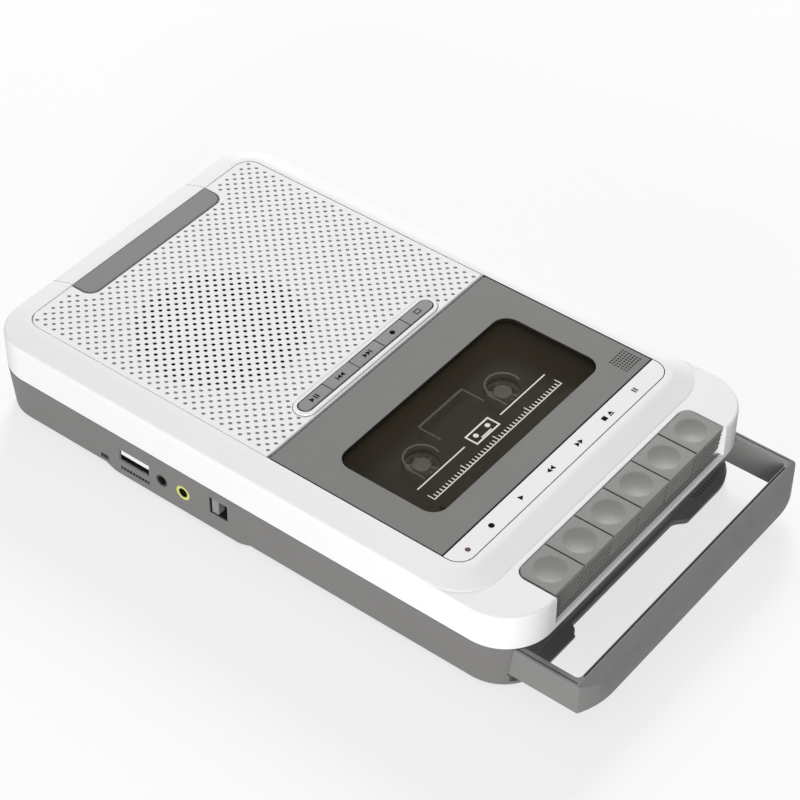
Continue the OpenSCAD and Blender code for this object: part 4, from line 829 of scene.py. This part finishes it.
def painted_shade_on_lid(x, y, z, normal):
    """True for the lid's sides and for what lies inside the microphone's holes, which are black as
    painted shade.
    """
    sunk = max(abs(x - MIC[0]), abs(y - MIC[1])) < 5 and Z_TOP - 2 < z < Z_TOP - 0.1
    return abs(normal.z) < 0.6 or sunk


lid = dress(add("lid_shell", NODES["lid"].data.copy()), "grey_lid", "recess_black")
boolean(lid, block("plug", (PLUG[0] - PLUG_HALF[0], PLUG[0] + PLUG_HALF[0]),
                   (PLUG[1] - PLUG_HALF[1], PLUG[1] + PLUG_HALF[1]), (Z_TOP - PLUG_DEPTH, Z_TOP)),
        "UNION")
baked(soften(lid, EDGE))
holes = []
for i in range(MIC_COUNT[0]):
    for j in range(MIC_COUNT[1]):
        x = MIC[0] + MIC_PITCH[0] * (i - (MIC_COUNT[0] - 1) / 2)
        y = MIC[1] + MIC_PITCH[1] * (j - (MIC_COUNT[1] - 1) / 2)
        holes.append(rounded((x - MIC_HOLE, x + MIC_HOLE), (y - MIC_HOLE, y + MIC_HOLE), 0, 0))
boolean(lid, prisms("mic_holes", holes, (Z_TOP - MIC_DEPTH, Z_TOP + OVER)))
piece(smooth(second_finish(lid, painted_shade_on_lid)), "lid", "grey_lid", "lid")


# Printed marks
def plates(name, outlines, z, plate_finish, body, slot, thick=0.03):
    """Thin shapes lying on a level surface: printed marks, and white rims painted as highlights."""
    return piece(dress(prisms(name, outlines, (z - 0.01, z + thick)), plate_finish), body, slot)


def bar(x, y, w, h):
    return [(x - w / 2, y - h / 2), (x + w / 2, y - h / 2), (x + w / 2, y + h / 2),
            (x - w / 2, y + h / 2)]


def frame_of(x, y, w, h, t):
    """Four bars that make an open frame."""
    return [bar(x, y + (h - t) / 2, w, t), bar(x, y - (h - t) / 2, w, t),
            bar(x - (w - t) / 2, y, t, h - 2 * t), bar(x + (w - t) / 2, y, t, h - 2 * t)]


def ring_part(x, y, r, t, a0, a1, n=28):
    return arc(x, y, r + t, a0, a1, n) + arc(x, y, r, a1, a0, n)


def arrow(x, y, w, h, way=1):
    """A triangle pointing along +X or -X."""
    tri = [(x - way * w / 2, y - h / 2), (x + way * w / 2, y), (x - way * w / 2, y + h / 2)]
    return tri if way > 0 else tri[::-1]


def arrows(x, y, s, way):
    return [arrow(x - 0.42 * s, y, 0.8 * s, s, way), arrow(x + 0.42 * s, y, 0.8 * s, s, way)]


def symbol(kind, x, y, s):
    """Generic transport symbols."""
    if kind == "record":
        return [disc(x, y, 0.5 * s)]
    if kind == "play":
        return [arrow(x, y, 0.9 * s, s)]
    if kind == "rewind":
        return arrows(x, y, s, -1)
    if kind == "forward":
        return arrows(x, y, s, 1)
    if kind == "stop":
        eject = x + 0.85 * s
        return [bar(x - 0.75 * s, y, 0.9 * s, 0.9 * s), bar(eject, y - 0.38 * s, s, 0.2 * s),
                [(eject - 0.5 * s, y - 0.15 * s), (eject + 0.5 * s, y - 0.15 * s),
                 (eject, y + 0.5 * s)]]
    if kind == "pause":
        return [bar(x - 0.25 * s, y, 0.26 * s, s), bar(x + 0.25 * s, y, 0.26 * s, s)]
    if kind == "previous":
        return symbol("rewind", x, y, s) + [bar(x - 0.95 * s, y, 0.2 * s, s)]
    if kind == "next":
        return symbol("forward", x, y, s) + [bar(x + 0.95 * s, y, 0.2 * s, s)]
    if kind == "run":
        return symbol("play", x - 0.5 * s, y, s) + symbol("pause", x + 0.55 * s, y, s)
    return [bar(x, y + 0.42 * s, 1.3 * s, 0.16 * s), bar(x, y - 0.42 * s, 1.3 * s, 0.16 * s),
            bar(x - 0.57 * s, y, 0.16 * s, 0.68 * s), bar(x + 0.57 * s, y, 0.16 * s, 0.68 * s)]


# Marks on the label strip and on the buttons
STRIP_MARK_X, STRIP_MARK_Y, STRIP_MARK_PITCH, STRIP_MARK = -36.2, -65.2, 15.18, 2.0
BUTTON_MARK, BUTTON_RISE = 1.9, 0.8
marks = []
for i, key in enumerate(KEYS):
    marks += symbol(key, STRIP_MARK_X + i * STRIP_MARK_PITCH, STRIP_MARK_Y, STRIP_MARK)
plates("strip_marks", marks, Z_TOP, "plate_finish", "case", "black_plastic")
for i, (button, kind) in enumerate(BUTTON_MARKS.items()):
    plates("mark_" + button, symbol(kind, (i - 2) * BUTTON_PITCH, BUTTON_Y, BUTTON_MARK),
           Z_TOP + BUTTON_RISE, "plate_finish", "button_" + button, "black_plastic")

# Rule lines, a scale of ticks and a cassette symbol on the window
PANE_Z, RULE_Y, RULE_X, RULE_W, RULE_T = Z_TOP - 1.2, -38.0, (-25.1, 17.2), 23.8, 0.45
SCALE_X, SCALE_Y, SCALE_STEP, SCALE_N, SCALE_T = -37, -43.2, 1.5, 45, 0.35
TICK, TALL_TICK, TALL_EVERY, SCALE_W, SCALE_DROP = 1.5, 2.6, 11, 66.4, 1.4
BADGE_X, BADGE_W, BADGE_H, BADGE_T, BADGE_HUB = -4, 12, 5.2, 0.6, 3
rules = [bar(x, RULE_Y, RULE_W, RULE_T) for x in RULE_X]
for i in range(SCALE_N):
    tall = TICK if i % TALL_EVERY else TALL_TICK
    rules.append(bar(SCALE_X + SCALE_STEP * i, SCALE_Y + tall / 2 - TALL_TICK / 2, SCALE_T, tall))
scale_mid = SCALE_X + SCALE_STEP * (SCALE_N - 1) / 2
rules.append(bar(scale_mid, SCALE_Y - SCALE_DROP, SCALE_W, SCALE_T))
plates("window_rule", rules, PANE_Z, "print_and_painted_highlight_white", "lid", "reel_white")
badge = frame_of(BADGE_X, RULE_Y, BADGE_W, BADGE_H, BADGE_T)
badge += [disc(BADGE_X + s * BADGE_HUB, RULE_Y + 0.3, 0.9) for s in (-1, 1)]
badge.append(bar(BADGE_X, RULE_Y - 1.6, 5, 0.5))
plates("window_badge", badge, PANE_Z, "print_and_painted_highlight_white", "lid", "reel_white")

# Rims moulded on the cassette, seen dimly through the window, white as painted highlights
CASSETTE_TOP, HUB_X, HUB_Y, RIM_H = 28.6, 21.25, -27.6, 0.25
HUB_RIM_R, HUB_RIM_T, HUB_RIM_ARC, HUB_BAR = 5.6, 0.6, (-25, 190), (-6.6, -2.6, 0.5, 7.4)
FRAME_BARS = ((0.3, -18.4, 22.6, 0.7), (-11.0, -23.0, 0.35, 8.4), (11.6, -23.0, 0.35, 8.4))
rims = [bar(*place) for place in FRAME_BARS]
for x in (-HUB_X, HUB_X):
    rims += [ring_part(x, HUB_Y, HUB_RIM_R, HUB_RIM_T, *HUB_RIM_ARC),
             bar(x + HUB_BAR[0], HUB_Y + HUB_BAR[1], *HUB_BAR[2:])]
plates("cassette_rims", rims, CASSETTE_TOP, "print_and_painted_highlight_white", "case", "cassette_smoke", RIM_H)

# Studio: lamps in metres, the floor in millimetres as every mesh
AIM, KEY_SIZE, FILL_SIZE = (0, 0, 0.02), 1.2, 0.5
WORLD_LEVEL, FLOOR_GREY, FLOOR_GLOW, FLOOR_HALF = 0.38, 0.3, 0.7, 3000


def area(name, place, size, level, sheen):
    """An area lamp whose level is the share of full exposure that it gives at the aim point.

    A lamp without sheen leaves no image of itself in glossy surfaces."""
    lamp = bpy.data.lights.new(name, "AREA")
    lamp.shape = "DISK"
    lamp.size = size
    gap = Vector(place) - Vector(AIM)
    lamp.energy = level * math.pi * math.pi * gap.length_squared
    ob = add(name, lamp)
    ob.location = place
    ob.rotation_euler = gap.to_track_quat("Z", "Y").to_euler()
    ob.visible_glossy = sheen


def seen(tree, low, high):
    """A level that is high where the camera, a mirror image or glass shows the surface itself."""
    path = tree.nodes.new("ShaderNodeLightPath")
    total = path.outputs["Is Camera Ray"]
    for name in ("Is Glossy Ray", "Is Transmission Ray"):
        most = tree.nodes.new("ShaderNodeMath")
        most.operation = "MAXIMUM"
        tree.links.new(total, most.inputs[0])
        tree.links.new(path.outputs[name], most.inputs[1])
        total = most.outputs[0]
    span = tree.nodes.new("ShaderNodeMapRange")
    span.inputs["To Min"].default_value = low
    span.inputs["To Max"].default_value = high
    tree.links.new(total, span.inputs["Value"])
    return span.outputs["Result"]


area("key", (2.46, 1.5, 1.4), KEY_SIZE, 0.6, False)
area("key_sheen", (2.44, 1.48, 1.39), KEY_SIZE, 0.3, True)
area("fill", (-1.5, -0.58, 0.28), FILL_SIZE, 0.77, False)

world = bpy.data.worlds.new("studio")
bpy.context.scene.world = world
world.use_nodes = True
back = world.node_tree.nodes["Background"]
back.inputs["Color"].default_value = (1, 1, 1, 1)
world.node_tree.links.new(seen(world.node_tree, WORLD_LEVEL, 1.0), back.inputs["Strength"])

corners = [(sx * FLOOR_HALF, sy * FLOOR_HALF, 0) for sx, sy in ((-1, -1), (1, -1), (1, 1), (-1, 1))]
floor = make("floor", corners, [(0, 1, 2, 3)])
mat = bpy.data.materials.new("floor")
mat.use_nodes = True
bsdf = mat.node_tree.nodes["Principled BSDF"]
bsdf.inputs["Base Color"].default_value = (FLOOR_GREY, FLOOR_GREY, FLOOR_GREY, 1)
bsdf.inputs["Roughness"].default_value = 0.9
bsdf.inputs["Specular IOR Level"].default_value = 0.1
bsdf.inputs["Emission Color"].default_value = (1, 1, 1, 1)
mat.node_tree.links.new(seen(mat.node_tree, 0.0, FLOOR_GLOW), bsdf.inputs["Emission Strength"])
floor.data.materials.append(mat)

# Camera at the photograph's viewing angle: its place in metres, its lens from pixels
AZ, EL, ROLL = (math.radians(a) for a in (-52.43, 42.86, 0.56))
CAMERA_AT, FOCAL_PX, IMAGE_PX, SENSOR = (-0.4726, -0.3661, 0.5766), 2542, 800, 36
behind = Vector((math.sin(AZ) * math.cos(EL), -math.cos(AZ) * math.cos(EL), math.sin(EL)))
right = Vector((0, 0, 1)).cross(behind).normalized()
up = behind.cross(right)
side = math.cos(ROLL) * right + math.sin(ROLL) * up
rise = math.cos(ROLL) * up - math.sin(ROLL) * right
lens = bpy.data.cameras.new("camera")
lens.sensor_width = SENSOR
lens.lens = FOCAL_PX / IMAGE_PX * SENSOR
lens.clip_start = 0.01
camera = add("camera", lens)
camera.matrix_world = (Matrix.Translation(Vector(CAMERA_AT))
                       @ Matrix((side, rise, behind)).transposed().to_4x4())
bpy.context.scene.camera = camera
bpy.context.scene.view_settings.view_transform = "Standard"
